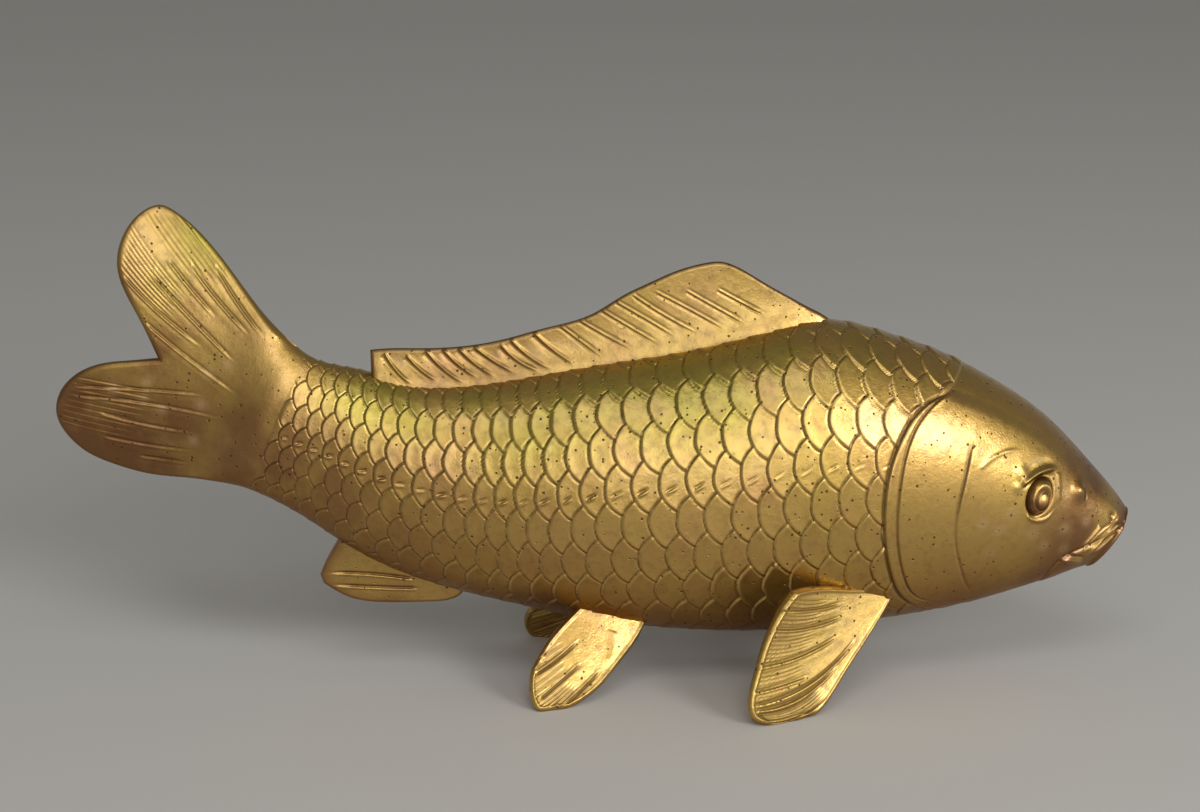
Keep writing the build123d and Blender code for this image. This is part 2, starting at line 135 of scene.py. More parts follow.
# Lines on the flank, as angles and the stations where they cross them
GILL_REAR = SmoothCurve(
    (-90, -75, -60, -47, -32, -14.5, -1.5, 13, 27, 42.5, 49, 60, 75, 90),
    (11.5, 11.05, 10.45, 10.05, 9.82, 9.69, 9.68, 9.78, 10.02, 10.49, 10.78, 11.05, 11.22, 11.3),
)
GILL_FRONT = SmoothCurve(
    (-90, -75, -60, -51, -37, -19.5, -5.7, 7.5, 22.5, 37, 49, 60, 90),
    (12.1, 11.65, 10.95, 10.45, 10.1, 9.93, 9.9, 9.95, 10.1, 10.42, 10.83, 11.2, 11.5),
)
CHEEK = SmoothCurve(
    (-62, -48, -31, -15, -5, 10, 24.5, 34),
    (11.7, 11.4, 11.16, 11.01, 11.02, 11.14, 11.26, 11.34),
)
LIPS = SmoothCurve(
    (-90, -60, -42, -30, -17, -9, 6, 31, 90),
    (13.6, 13.6, 13.75, 13.97, 14.6, 15.0, 15.37, 15.54, 15.4),
)

# Lateral line, as angles at stations
LATERAL = SmoothCurve(
    (-1, 0, 1.2, 2.3, 3.3, 4.2, 5.1, 6, 7.3, 8.2, 9.4, 11, 16),
    (-1, -1, 0, 1.5, 4.5, 5, 6.6, 10.5, 13.3, 13.4, 14.5, 16, 16),
)


def step(x, low, high):
    """Smooth step from 0 at low to 1 at high."""
    x = np.clip((x - low) / (high - low), 0, 1)
    return x * x * (3 - 2 * x)


def bell(x, width):
    """Bell of height 1: e to the power of minus the square of x over its width."""
    return np.exp(-((x / width) ** 2))


def strokes(flat, lines, kind):
    """Height and recess of lines drawn on a flat grid. Each line runs from its first point through
    its middle one to its last: the bow at share s of its length is 4 s (1 - s) times that of the
    middle. A kind lists strokes beside each other: offset, half width, rise in mm and darkness."""
    height, recess = np.zeros(flat.shape[:2]), np.zeros(flat.shape[:2])
    for line in lines:
        start, middle, end = np.array(line, float)
        run = end - start
        square = run @ run
        left = np.array((-run[1], run[0])) / math.sqrt(square)
        bow = (middle - (start + end) / 2) @ left
        share = (flat - start) @ run / square
        away = (flat - start) @ left - bow * 4 * share * (1 - share)
        fade = step(share, -0.02, 0.07) * (1 - step(share, 0.72, 1.02))
        for offset, width, rise, dark in kind:
            stroke = fade * bell(away - offset, width)
            height += rise * stroke
            recess = np.maximum(recess, dark * stroke)
    return height, recess


def between(first, last, count):
    """Lines spaced evenly from one line to another, both among them."""
    first, last = np.array(first, float), np.array(last, float)
    return [first + (last - first) * share for share in np.linspace(0, 1, count)]


def body_point(u, t):
    """Body surface: from the centre of station u, half height times sin t along the leaned section,
    and half width times cos t to a power near 1 sideways, so the ridge is slim and the keel full."""
    x, z, high, wide, lean = np.moveaxis(BODY.at(u), -1, 0)
    sine, cosine = np.sin(np.radians(t)), np.cos(np.radians(t))
    power = 1 + (np.where(sine > 0, RIDGE_POWER, KEEL_POWER) - 1) * np.abs(sine)
    up = high * sine
    lean = np.radians(lean)
    y = -wide * np.sign(cosine) * np.abs(cosine) ** power
    return np.stack([x + up * np.sin(lean), y, z + up * np.cos(lean)], -1)


def body_normal(u, t):
    """Outward direction of the body: the chord along it crossed with the chord up the flank."""
    along = body_point(u + 0.02, t) - body_point(u - 0.02, t)
    up = body_point(u, t + 0.5) - body_point(u, t - 0.5)
    return unit(np.cross(along, up))


def unit(vectors):
    """Vectors of length 1 in the same directions."""
    return vectors / np.maximum(np.linalg.norm(vectors, axis=-1, keepdims=True), 1e-9)


# Tables over the body, ten rows to a station and one column to a degree: length up the flank, and
# millimetres per degree and per station
ROWS_PER_STATION = 10
TABLE_STATIONS = np.linspace(-0.2, MOUTH_STATION, 163)
TABLE_ANGLES = np.linspace(-90, 90, 181)
TABLE_POINTS = body_point(*np.meshgrid(TABLE_STATIONS, TABLE_ANGLES, indexing="ij"))
FLANK_STEPS = np.linalg.norm(np.diff(TABLE_POINTS, axis=1), axis=2)
FLANK_LENGTH = np.pad(np.cumsum(FLANK_STEPS, axis=1), ((0, 0), (1, 0)))
PER_DEGREE = np.gradient(FLANK_LENGTH, axis=1)
PER_STATION = np.linalg.norm(np.gradient(TABLE_POINTS, axis=0), axis=2) * ROWS_PER_STATION

# Scales counted along x in steps of 0.1 mm, two places to a scale, from the middle of the figure
TRACK_STEP = 0.1
TRACK_X = np.linspace(-140, 220, 3601)
TRACK = np.cumsum(2 / SPACING.at(TRACK_X) * TRACK_STEP)
TRACK -= np.interp(0, TRACK_X, TRACK)


def read_table(table, u, t):
    """Value of a table at any place, blended from its four nearest entries."""
    i = np.clip((u - TABLE_STATIONS[0]) * ROWS_PER_STATION, 0, len(TABLE_STATIONS) - 1.001)
    j = np.clip(t - TABLE_ANGLES[0], 0, len(TABLE_ANGLES) - 1.001)
    i0, j0 = i.astype(int), j.astype(int)
    a, b = i - i0, j - j0
    low = table[i0, j0] * (1 - b) + table[i0, j0 + 1] * b
    high = table[i0 + 1, j0] * (1 - b) + table[i0 + 1, j0 + 1] * b
    return low * (1 - a) + high * a


def line_distance(line, u, t):
    """Millimetres in front of a line on the flank: stations ahead of it times their length, made
    less where the line slants."""
    t = np.clip(t, line.places[0], line.places[-1])
    per_station = read_table(PER_STATION, u, t)
    slant = (line.at(t + 1) - line.at(t - 1)) / 2 * per_station / read_table(PER_DEGREE, u, t)
    return (u - line.at(t)) * per_station / np.sqrt(1 + slant**2)


def scale_relief(u, t, look):
    """Height and recess of the scales. Row j holds scales at every place i of the same parity. A
    scale's free edge lies at i less a depth that grows with the square of the distance from the
    row's middle, and the scale nearest the head lies on top. It rises towards its free edge and
    drops there into a groove."""
    x = BODY.at(u)[..., 0]
    pitch = SPACING.at(x) / 2
    middle = read_table(FLANK_LENGTH, u, LATERAL.at(u))
    spacing = (read_table(FLANK_LENGTH, u, np.full_like(u, 90.0)) - middle) / ROWS_ABOVE
    row_place = (read_table(FLANK_LENGTH, u, t) - middle) / spacing
    wobble = np.sin(0.37 * x + 0.21 * t) * np.sin(0.13 * x - 0.31 * t)
    place = -(np.interp(x, TRACK_X, TRACK) + ROW_SHIFT * row_place) + 0.06 * wobble

    rows, tops, depths, slants = [], [], [], []
    for row in (np.floor(row_place), np.floor(row_place) + 1):
        off = np.abs(row_place - row)
        depth = EDGE_CURVE * off**2 + EDGE_TIP * off**4
        slope = 2 * EDGE_CURVE * off + 4 * EDGE_TIP * off**3
        rows.append(row)
        depths.append(depth)
        tops.append(2 * np.floor((place + depth - row) / 2) + row + 2)
        slants.append(np.sqrt(1 + (slope * pitch / spacing) ** 2))
    first = tops[0] < tops[1]
    cover = np.where(first, tops[0], tops[1])
    depth = np.where(first, depths[0], depths[1])
    row = np.where(first, rows[0], rows[1])
    off = np.abs(row_place - row)
    inside = (cover - depth - place) * pitch / np.where(first, slants[0], slants[1])

    far = 99.0
    outside = np.full_like(u, far)
    for k in (0, 1):
        edge = tops[k] - 2 - depths[k]
        other = 2 * np.floor((edge + depths[1 - k] - rows[1 - k]) / 2) + rows[1 - k] + 2
        away = (place - edge) * pitch / slants[k]
        outside = np.minimum(outside, np.where(other < tops[k] - 2, far, away))

    rise = np.exp(-inside / (0.8 * pitch)) * (1 - np.exp(-inside / 0.32))
    chance = np.modf(np.abs(np.sin(cover * 12.9 + row * 78.2)) * 437.5)[0] - 0.5
    along = (cover - place) / 2
    lean = 0.25 * chance * (along - 0.4) + 0.1 * np.cos(off * 2.2)
    height = look.scale_relief / MM * (rise + lean)
    width = look.groove_width / MM * np.clip(pitch / 4.4, 0.6, 1)
    height -= look.groove_depth / MM * bell(outside, width)
    # Groove patina, painted darker along the lower arc of each scale's edge and lighter along its upper
    # arc, as painted shade
    groove_patina_and_shade = np.clip(0.75 - 0.6 * (row_place - row) + 0.4 * chance, 0.4, 1)
    recess = groove_patina_and_shade * bell(outside, width) + 0.25 * np.exp(-inside / 0.15)

    from_dash = (row_place + 0.1 - 0.24 * (along - 0.5)) * spacing
    dash = step(along, 0.2, 0.36) * (1 - step(along, 0.5, 0.72)) * step(u, 0.4, 1.2)
    dash = dash * (1 - 0.65 * step(u, 6.6, 8.2)) * (1 + 0.8 * chance)
    height += dash * (0.45 * bell(from_dash + 0.55, 0.6) - 0.45 * bell(from_dash - 0.35, 0.55))
    recess = np.maximum(recess, 0.55 * dash * bell(from_dash - 0.6, 0.4))
    return height, recess


# Right eye: its place on the body, half sizes in mm, forward slant, and its own axes
EYE_PLACE = (np.array(12.8), np.array(13))
EYE_HALF_WIDTH = 5
EYE_HALF_HEIGHT = 6.4
EYE_SLANT = 0.2
EYE_CENTRE = body_point(*EYE_PLACE)
EYE_OUT = body_normal(*EYE_PLACE)
EYE_ACROSS = unit(np.cross((0, 0, 1), EYE_OUT))
EYE_UP = np.cross(EYE_OUT, EYE_ACROSS)

# Lines on the head with their strokes, and bumps and spots, in mm forwards and up from the
# middle of the eye as it faces: lids, nostril, brow and lips
HEAD_LINES = (
    (
        (((-7.6, 5.2), (0.4, 9.0), (9.0, 9.2)),),
        ((0, 1.0, 1.5, 0), (2.8, 1.6, -0.3, 0.1), (-1.5, 0.6, -0.35, 0.95)),
    ),
    ((((-5.6, -6.6), (0.2, -9.4), (6.6, -5.4)),), ((0, 0.9, 0.4, 0), (1.3, 0.5, -0.1, 0.5))),
    ((((8.6, 8.0), (8.4, 2.2), (6.8, -4.6)),), ((0, 1.1, 0.25, 0), (-1.5, 0.7, 0, 0.45))),
    ((((20.0, 0.6), (20.3, -2.2), (20.0, -4.8)),), ((0, 0.75, -0.4, 1.0),)),
    ((((-24.0, 12.8), (-16.1, 17.1), (-6.6, 17.8)),), ((0, 0.8, 0.3, 0),)),
    (
        (
            ((27.4, -15.0), (23.6, -19.2), (20.0, -22.8)),
            ((36.0, -15.2), (29.0, -19.8), (22.6, -28.0)),
            ((34.6, -17.8), (29.4, -22.2), (24.6, -26.2)),
            ((11.6, -26.2), (17.3, -27.4), (22.9, -28.7)),
        ),
        ((0, 0.75, 0.75, 0),),
    ),
    (
        (
            ((33.6, -14.0), (26.6, -18.0), (20.4, -25.8)),
            ((36.4, -17.2), (29.6, -21.2), (23.8, -27.0)),
            ((14.4, -25.1), (18.8, -25.8), (22.8, -26.9)),
        ),
        ((0, 0.5, -0.5, 0.7),),
    ),
)
HEAD_BUMPS = (
    (-6.8, 9.0, 2.4, 0.9), (-9.6, 4.4, 1.7, 0.4), (17.6, -0.3, 2.7, 2.0), (33.3, -12.2, 1.2, -0.9),
)
PALE_SPOTS = (
    (11.2, -13.8), (20.6, -12.2), (-2.2, -14.3), (3.5, -19.8), (12.2, -22.1),
    (-16.1, -11.2), (-22.5, -8.0), (-18.3, -19.9), (-11.7, -5.2),
)


def eye_place(points):
    """Places in mm forwards and up from the middle of the right eye, seen square to it."""
    return np.stack([(points - EYE_CENTRE) @ EYE_ACROSS, (points - EYE_CENTRE) @ EYE_UP], -1)


def head_relief(u, t, points, look):
    """Height, recess and pale spots of the head: grooves and steps by distance from the gill
    bands, the cheek line and the lips, and rings, bells and strokes round the eye."""
    rear = line_distance(GILL_REAR, u, t)
    front = line_distance(GILL_FRONT, u, t)
    fade = step(t, -88, -62) * (1 - step(t, 46, 56))
    band = look.gill_relief / MM
    height = fade * band * 0.75 * step(rear, 0, 0.5) * np.exp(-np.maximum(rear, 0) / 26)
    height += fade * band * 0.5 * step(front, -0.2, 0.6) * np.exp(-np.maximum(front, 0) / 14)
    carved = 0.2 * bell(rear - 1.4, 0.9) - 0.5 * bell(rear + 0.4, 0.6) - 0.4 * bell(front + 0.15, 0.5)
    height += fade * carved
    recess = fade * np.maximum(0.9 * bell(rear + 0.25, 0.8), 0.7 * bell(front + 0.1, 0.55))

    cheek = line_distance(CHEEK, u, t)
    fade = step(t, -60, -36) * (1 - step(t, 20, 36))
    upper = step(t, -12, 6)
    swell = np.exp(-np.maximum(cheek, 0) / 7)
    height += fade * (0.3 + 0.35 * upper) * step(cheek, -0.3, 0.6) * swell
    height -= fade * 0.35 * bell(cheek + 0.1, 0.6)
    recess = np.maximum(recess, fade * bell(cheek + 0.1, 0.6) * (0.45 + 0.35 * upper))

    flat = eye_place(points)
    across, up = flat[..., 0], flat[..., 1]
    near = (1 - step(np.hypot(across, up), 46, 50)) * step(-points[..., 1], 1, 4)
    ring = np.hypot((across - EYE_SLANT * up) / EYE_HALF_WIDTH, up / EYE_HALF_HEIGHT)
    lower = 0.5 - 0.5 * np.sin(np.arctan2(up, across))
    height -= near * 1.4 * (1 - step(ring, 0.94, 1.2))
    height += near * 0.15 * lower * bell(ring - 1.36, 0.16)
    recess = np.maximum(recess, near * 0.7 * bell(ring - 1.03, 0.08))
    for x, y, radius, rise in HEAD_BUMPS:
        height += near * rise * bell(np.hypot(across - x, (up - y) * 0.85), radius)
    for lines, kind in HEAD_LINES:
        rise, dark = strokes(flat, lines, kind)
        height += near * rise
        recess = np.maximum(recess, near * dark)
    pale = np.zeros_like(u)
    for x, y in PALE_SPOTS:
        away = np.hypot(across - x, up - y)
        pale = np.maximum(pale, near * bell(away, 2.1))
        recess = np.maximum(recess, near * bell(away, 0.38))

    lip = line_distance(LIPS, u, t)
    fade = (1 - step(t, 30, 42)) * (0.3 + 0.7 * step(t, -70, -40))
    height += fade * (0.7 * step(lip, -0.4, 1.6) - 0.35 * bell(lip + 0.2, 0.6))
    recess = np.maximum(recess, fade * 0.5 * bell(lip + 0.1, 0.6))
    return height, recess, pale


def low_rust_and_shade(t, keel, root):
    """Brown of the keel and of the lower flank near the tail: partly rust, partly painted shade."""
    return np.maximum(0.8 * keel * (1 - step(t, -62, -30)), 0.85 * root * step(-t, -50, 8))


def skin(u, t, look):
    """Points of the finished skin, and how its finish varies: the body moved outwards by the
    scales behind the gills and on the nape, and by the head's relief. Past the ridge or the keel
    the relief is mirrored."""
    points = body_point(u, t)
    out = body_normal(u, t)
    t = np.where(t > 90, 180 - t, np.where(t < -90, -180 - t, t))
    height, recess = scale_relief(u, t, look)
    start = 0.1 + 0.2 * step(np.abs(t - 5), 20, 80)
    mask = step(u, start, start + 0.3) * (1 - step(line_distance(GILL_REAR, u, t), -0.5, 0.3))
    mask = mask * (0.35 + 0.65 * step(t, -80, -38)) * (1 - 0.2 * step(t, 55, 85))
    head_height, head_recess, pale = head_relief(u, t, points, look)
    height = height * mask + head_height
    # Brown on the keel and on the lower flank near the tail is partly rust, partly painted shade
    rust = low_rust_and_shade(t, 1, 1 - step(u, 1, 7)) + bell(u - 16.3, 0.8)
    rust += 0.95 * step(u, 12.3, 14.2) * (1 - 0.75 * step(u, 14.3, 15))
    tags = {
        "recess": np.maximum(recess * mask, head_recess),
        "pale": pale,
        "green": bell(t - 50, 26) * step(u, 0.5, 2.5) * (1 - step(u, 7.5, 10.2)),
        "rust": rust,
    }
    return points + out * height[..., None], tags


def grid_normals(points):
    """Directions square to a grid: its chords along one way crossed with those along the other."""
    return unit(np.cross(np.gradient(points, axis=0), np.gradient(points, axis=1)))


def build_piece(name, sheets, finish, nodes, normals=None, tags=None, walls=()):
    """One closed mesh from grids of points in mm whose faces point outwards, and flat walls given
    by their outlines. Points that meet are merged, and faces that close up at a pole become
    triangles. Normals and tags belong to the first sheets' points."""
    quads, offset = [], 0
    for sheet in sheets:
        rows, columns = sheet.shape[:2]
        index = np.arange(rows * columns).reshape(rows, columns) + offset
        corners = [index[:-1, :-1], index[1:, :-1], index[1:, 1:], index[:-1, 1:]]
        quads.append(np.stack(corners, -1).reshape(-1, 4))
        offset += rows * columns
    points = np.concatenate([sheet.reshape(-1, 3) for sheet in sheets] + list(walls))
    places = np.round(points, 4)
    _, first, merged = np.unique(places, axis=0, return_index=True, return_inverse=True)
    merged = merged.reshape(-1)
    quads = merged[np.concatenate(quads)]
    same = quads == np.roll(quads, -1, axis=1)
    folded = quads[same.sum(axis=1) == 1]
    spot = same[same.sum(axis=1) == 1].argmax(axis=1)
    faces = quads[~same.any(axis=1)].tolist()
    thirds = np.take_along_axis(folded, (spot[:, None] + np.arange(1, 4)) % 4, axis=1)
    faces += thirds[(thirds[:, 0] != thirds[:, 1]) & (thirds[:, 0] != thirds[:, 2])].tolist()
    for wall in walls:
        loop = merged[offset : offset + len(wall)]
        faces.append(loop[loop != np.roll(loop, 1)].tolist())
        offset += len(wall)

    mesh = bpy.data.meshes.new(name)
    mesh.from_pydata(points[first] * MM, [], faces)
    mesh.polygons.foreach_set("use_smooth", np.ones(len(faces), bool))
    for tag, values in (tags or {}).items():
        flat = np.zeros(len(points), np.float32)
        flat[: values.size] = values.reshape(-1).clip(0, 1)
        mesh.attributes.new(tag, "FLOAT", "POINT").data.foreach_set("value", flat[first])
    mesh.update()
    if normals is not None:
        given = np.concatenate([part.reshape(-1, 3) for part in normals])
        spots = merged[: len(given)]
        total = [np.bincount(spots, given[:, k], len(first)) for k in range(3)]
        mesh.normals_split_custom_set_from_vertices(unit(np.stack(total, -1)))
    mesh.materials.append(brass(finish))
    piece = bpy.data.objects.new(name, mesh)
    bpy.context.scene.collection.objects.link(piece)
    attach(piece, "root")
    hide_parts(*nodes)
    return piece


def flip(sheet):
    """The same sheet seen from its other face."""
    return sheet[:, ::-1]


# Shape of the lips and the blind mouth: size of the ring and how far forward it lies, in mm
MOUTH_RINGS = SmoothCurve(
    (0, 0.6, 1.3, 2.1, 3.0, 4.1, 6, 9, 12, 14, 16),
    (
        (1.0, 0), (1.01, 0.7), (0.95, 1.25), (0.87, 1.3), (0.78, 0.8), (0.7, -0.3),
        (0.63, -2.5), (0.58, -5.5), (0.5, -8), (0.25, -9.2), (0, -9.4),
    ),
)

# Share of the way from the tail root to the gills where the trunk's two stretches meet
TRUNK_SPLIT = 0.55


def mouth_rows(edge):
    """Rings that carry the snout's last row over the lips and into the mouth: the row shrunk
    towards its middle and moved along the snout."""
    row = BODY.at(np.array(float(MOUTH_STATION)))
    lean = math.radians(row[4])
    rings = MOUTH_RINGS.at(np.linspace(0, MOUTH_RINGS.places[-1], 54)[1:])
    middle = np.array((row[0], 0, row[1]))
    forward = np.array((math.cos(lean), 0, -math.sin(lean)))
    size, reach = rings[:, 0].clip(0), rings[:, 1]
    size[-1] = 0
    return middle + (edge - middle) * size[:, None, None] + forward * reach[:, None, None]


def spread(count, peaks):
    """Shares from 0 to 1 that lie closer together round each peak, given by its place, width and
    weight."""
    fine = np.linspace(0, 1, 4001)
    dense = 1 + sum(weight * bell(fine - place, width) for place, width, weight in peaks)
    reach = np.r_[0, np.cumsum((dense[1:] + dense[:-1]) / 2)]
    return np.interp(np.linspace(0, 1, count), reach / reach[-1], fine)


def flank_piece(name, side, along, share, columns, look):
    """A stretch of one flank, closed on the middle plane and at both ends. Along gives the
    stations of a share from 0 to 1 of the stretch at angle t. The head's stretch runs on into the
    mouth. A row and a column more on every side give the edges their normals."""
    share = np.r_[-share[1], share, 2 - share[-2]][:, None]
    angles = 180 * spread(columns, ((0.5, 0.3, 0.6),)) - 90
    angles = np.r_[-90.5, angles, 90.5][None, :]
    u = along(share, angles)
    points, tags = skin(u, angles + 0 * u, look)
    head = u[-2].min() >= MOUTH_STATION
    if head:
        inner = mouth_rows(points[-2])
        deep = np.linspace(0, 1, len(inner))[:, None] + 0 * angles
        points = np.concatenate([points[:-1], inner])
        inside = {"recess": step(deep, 0.15, 0.45), "rust": 1 - 0.5 * deep}
        for tag, values in tags.items():
            tags[tag] = np.concatenate([values[:-1], inside.get(tag, 0 * deep)])
    normals = grid_normals(points)
    end = None if head else -1
    points, normals = points[1:end, 1:-1], normals[1:end, 1:-1]
    tags = {tag: values[1:end, 1:-1] for tag, values in tags.items()}
    for edge in (0, -1):
        points[:, edge, 1] = 0
        normals[:, edge, 1] = 0
    if side == "left":
        points, normals = points * (1, -1, 1), normals * (1, -1, 1)
    keel = np.broadcast_to(points[:, :1], points.shape)
    sheets = [points, np.stack([keel[0], points[0]])]
    if not head:
        sheets.append(np.stack([points[-1], keel[-1]]))
    wall = np.concatenate([points[:, -1], points[::-1, 0]])
    if side == "left":
        sheets = [flip(sheet) for sheet in sheets]
        normals, wall = flip(normals), wall[::-1]
        tags = {tag: flip(values) for tag, values in tags.items()}
    return build_piece(name, sheets, "worn_brass", [f"body_shell_{side}"], [normals], tags, [wall])


def crowd(count, ends=0.6):
    """Shares from 0 to 1 that lie closer together towards both ends."""
    even = np.linspace(0, 1, count)
    return (1 - ends) * even + ends * (0.5 - 0.5 * np.cos(math.pi * even))


def even_points(points, shares):
    """Points at shares of the length of the smooth curve through a few points."""
    points = np.array(points, float)
    steps = np.r_[0, np.cumsum(np.linalg.norm(np.diff(points, axis=0), axis=1))]
    curve = SmoothCurve(steps, points)
    fine = curve.at(np.linspace(0, steps[-1], 2000))
    reach = np.r_[0, np.cumsum(np.linalg.norm(np.diff(fine, axis=0), axis=1))]
    places = np.interp(np.asarray(shares) * reach[-1], reach, np.linspace(0, steps[-1], 2000))
    return curve.at(places)


def cut_points(points, corner, before, after):
    """Points at shares of the two parts of one smooth curve that is cut at one of its points."""
    fine = even_points(points, np.linspace(0, 1, 4001))
    cut = np.linalg.norm(fine - points[corner], axis=1).argmin() / 4000
    return even_points(points, cut * before), even_points(points, cut + (1 - cut) * after)


def patch(start, first, last, finish):
    """Grid between four edges: the blend of the two sides, plus the blend of the two ends, less the
    blend of the four corners."""
    p = np.linspace(0, 1, len(first))[:, None, None]
    q = np.linspace(0, 1, len(start))[None, :, None]
    sides = (1 - q) * first[:, None] + q * last[:, None]
    ends = (1 - p) * start[None] + p * finish[None]
    near = (1 - q) * start[0] + q * start[-1]
    far = (1 - q) * finish[0] + q * finish[-1]
    return sides + ends - ((1 - p) * near + p * far)


def rim_distance(grid, rim):
    """Distance of each point of a flat grid from an outline of straight steps."""
    nearest = np.full(grid.shape[:2], 1e9)
    for a, b in zip(rim[:-1], rim[1:]):
        run = b - a
        part = np.clip(((grid - a) @ run) / max(run @ run, 1e-9), 0, 1)
        nearest = np.minimum(nearest, np.linalg.norm(grid - a - part[..., None] * run, axis=-1))
    return nearest


def rounded(distance, radius):
    """Share of full thickness near a rounded rim: a quarter circle of that radius."""
    return np.sqrt(np.clip(1 - (1 - np.clip(distance / radius, 0, 1)) ** 2, 0, 1))


# Kinds of carved line, each a set of strokes: offset, half width, rise in mm and darkness
TWIN = ((-0.7, 0.4, -0.45, 0.85), (0.65, 0.36, -0.3, 0.55), (0, 0.35, 0.2, 0))
RIB = ((0, 0.55, 0.5, 0), (-1.5, 0.9, -0.35, 0.35))
RAY = ((0, 0.45, 0.35, 0), (-0.85, 0.5, -0.3, 0.55), (1.6, 1.6, 0.15, 0))
HAIR = ((0, 0.34, -0.16, 0.4), (0.6, 0.3, 0.12, 0))
GROOVE = ((0, 0.5, -0.5, 0.85), (0.9, 0.4, 0.3, 0))
FOLD = ((0, 2.0, 0.25, 0),)

# Least half thickness inside a fin's rim in mm, so that its two faces never meet there, and how
# far the roots of the dorsal and anal fins lie inside the body
LEAST_HALF = 0.004
ROOT_DEPTH = 6


def fin_piece(name, node, middle, half, flat, size, drawn, finish_tags, cap=0, ease=None):
    """A thin fin: both faces of its middle grid moved out by half its thickness and by its carving.
    The first rows of a cap lie inside the body and take no part in the normals, which an ease turns
    towards given ones by a share."""
    height, recess = np.zeros(half.shape), np.zeros(half.shape)
    for lines, kind in drawn:
        rise, dark = strokes(flat, np.array(lines) * size, kind)
        height += rise
        recess = np.maximum(recess, dark)
    thick = np.maximum(half + height * np.clip(half / 0.9, 0, 1), 0)
    thick[1:-1, 1:-1] = np.maximum(thick[1:-1, 1:-1], LEAST_HALF)
    thick = thick[..., None]
    out = grid_normals(middle)
    tags = {"recess": recess * np.clip(half / 0.5, 0, 1), **finish_tags}
    sheets, normals = [], []
    for way in (1, -1):
        sheet = middle + way * out * thick
        sheet[..., 2] = np.maximum(sheet[..., 2], 0)
        normal = way * grid_normals(sheet)
        if ease:
            share, target = ease
            side = np.sign(way * out[..., 1].mean())
            normal = unit(normal * (1 - share) + target * (1, side, 1) * share)
        normal[:cap] = 0
        sheets.append(sheet if way > 0 else flip(sheet))
        normals.append(normal if way > 0 else flip(normal))
    for tag, values in tags.items():
        tags[tag] = np.concatenate([values.reshape(-1), flip(values).reshape(-1)])
    return build_piece(name, sheets, "worn_brass", [node], normals, tags)


# Dorsal fin: stations along the back and the heights there, as shares of its height in mm
DORSAL_HEIGHT = 30
DORSAL_SHARES = (
    (2.28, 0.29), (2.8, 0.38), (4.04, 0.45), (4.77, 0.48), (5.29, 0.53), (5.98, 0.63),
    (6.26, 0.76), (6.61, 0.88), (6.93, 0.97), (7.28, 1.0), (7.52, 0.96), (7.73, 0.83),
    (8.1, 0.54), (8.45, 0.31), (8.7, 0.17), (8.88, 0.09), (9.0, 0.03),
)
DORSAL = SmoothCurve(*(np.array(DORSAL_SHARES) * (1, DORSAL_HEIGHT)).T)

# Its ribs and engraved pairs, from the top edge down to the base, as x and z in mm
DORSAL_RIBS = (
    ((-79.0, 126.9), (-75.3, 121.2), (-69.0, 115.6)),
    ((-71.0, 126.0), (-66.0, 120.7), (-59.5, 116.6)),
    ((-64.0, 127.8), (-59.4, 122.3), (-50.0, 115.9)),
    ((-58.0, 128.6), (-53.0, 123.0), (-44.6, 117.6)),
    ((-52.2, 128.8), (-46.8, 123.2), (-38.2, 118.0)),
    ((-46.4, 129.0), (-39.5, 123.7), (-30.6, 119.2)),
    ((-36.6, 129.6), (-30.3, 123.6), (-22.0, 120.0)),
    ((-33.0, 131.6), (-26.8, 125.6), (-17.8, 120.7)),
    ((-24.4, 134.0), (-17.0, 127.2), (-9.0, 122.3)),
)
DORSAL_PAIRS = (
    ((-16.2, 137.4), (-8.2, 131.2), (0.6, 124.8)),
    ((-9.4, 139.4), (0.4, 133.4), (11.6, 127.6)),
    ((-0.6, 142.6), (9.8, 136.2), (21.8, 129.2)),
    ((5.4, 145.2), (16.0, 139.0), (27.6, 131.9)),
    ((12.0, 147.6), (24.0, 139.6), (36.4, 132.9)),
    ((20.4, 148.6), (33.4, 141.6), (46.0, 134.5)),
    ((31.6, 148.9), (43.2, 142.2), (54.0, 136.1)),
    ((43.0, 149.2), (52.4, 144.0), (60.6, 139.6)),
)


def dorsal_fin():
    """Fin on the ridge: ribs that lean back over its rear half, and engraved pairs of lines in
    front. It is thickest at the root and swells where it leaves the ridge."""
    start, end = DORSAL.places[[0, -1]]
    u = (start + (end - start) * crowd(500, 0.1))[:, None]
    q = crowd(96, 0.5)[None, :]
    ridge = body_point(u, 90 + 0 * u)
    rise = DORSAL.at(u)
    up = -ROOT_DEPTH + (rise + ROOT_DEPTH) * q
    middle = np.stack([ridge[..., 0] + 0 * up, 0 * up, ridge[..., 2] + up], -1)
    flat = middle[..., ::2]
    rim = np.concatenate([flat[0], flat[1:, -1], flat[-1:, 0]])
    distance = rim_distance(flat, rim)
    depth = np.clip((rise - up) / (rise + ROOT_DEPTH), 0, 1)
    half = (1.1 + 3.5 * depth**1.7) * rounded(distance, 1.5)
    half += 1.3 * np.clip(rise / 12, 0, 1) * bell(up, 5) * rounded(distance, 3)
    half[:, 0] = 0
    edge = 0.6 * (1 - step(rim_distance(flat, flat[:, -1]), 0.4, 1.5))
    rust = 0.6 * edge * step(flat[..., 0], -20, 40) + 0.35 * (1 - step(flat[..., 0], -40, 0))
    # The dark tag makes the whole fin a little darker as painted shade, and its top rim darker still
    tags = {"rust": rust + 0.65 * (1 - step(flat[..., 0], -85, -80)), "dark": edge + 0.13}
    drawn = ((DORSAL_RIBS, RIB), (DORSAL_PAIRS, TWIN))
    return fin_piece("dorsal_fin_ribbed", "dorsal_fin", middle, half, flat, 1, drawn, tags)


# Tail fin: its root, its length and half spread, and how far its cap lies in the body, in mm
TAIL_ROOT = (-121.0, 0, 101.92)
TAIL_SIZE = (76, 54.7)
TAIL_CAP = 0.8

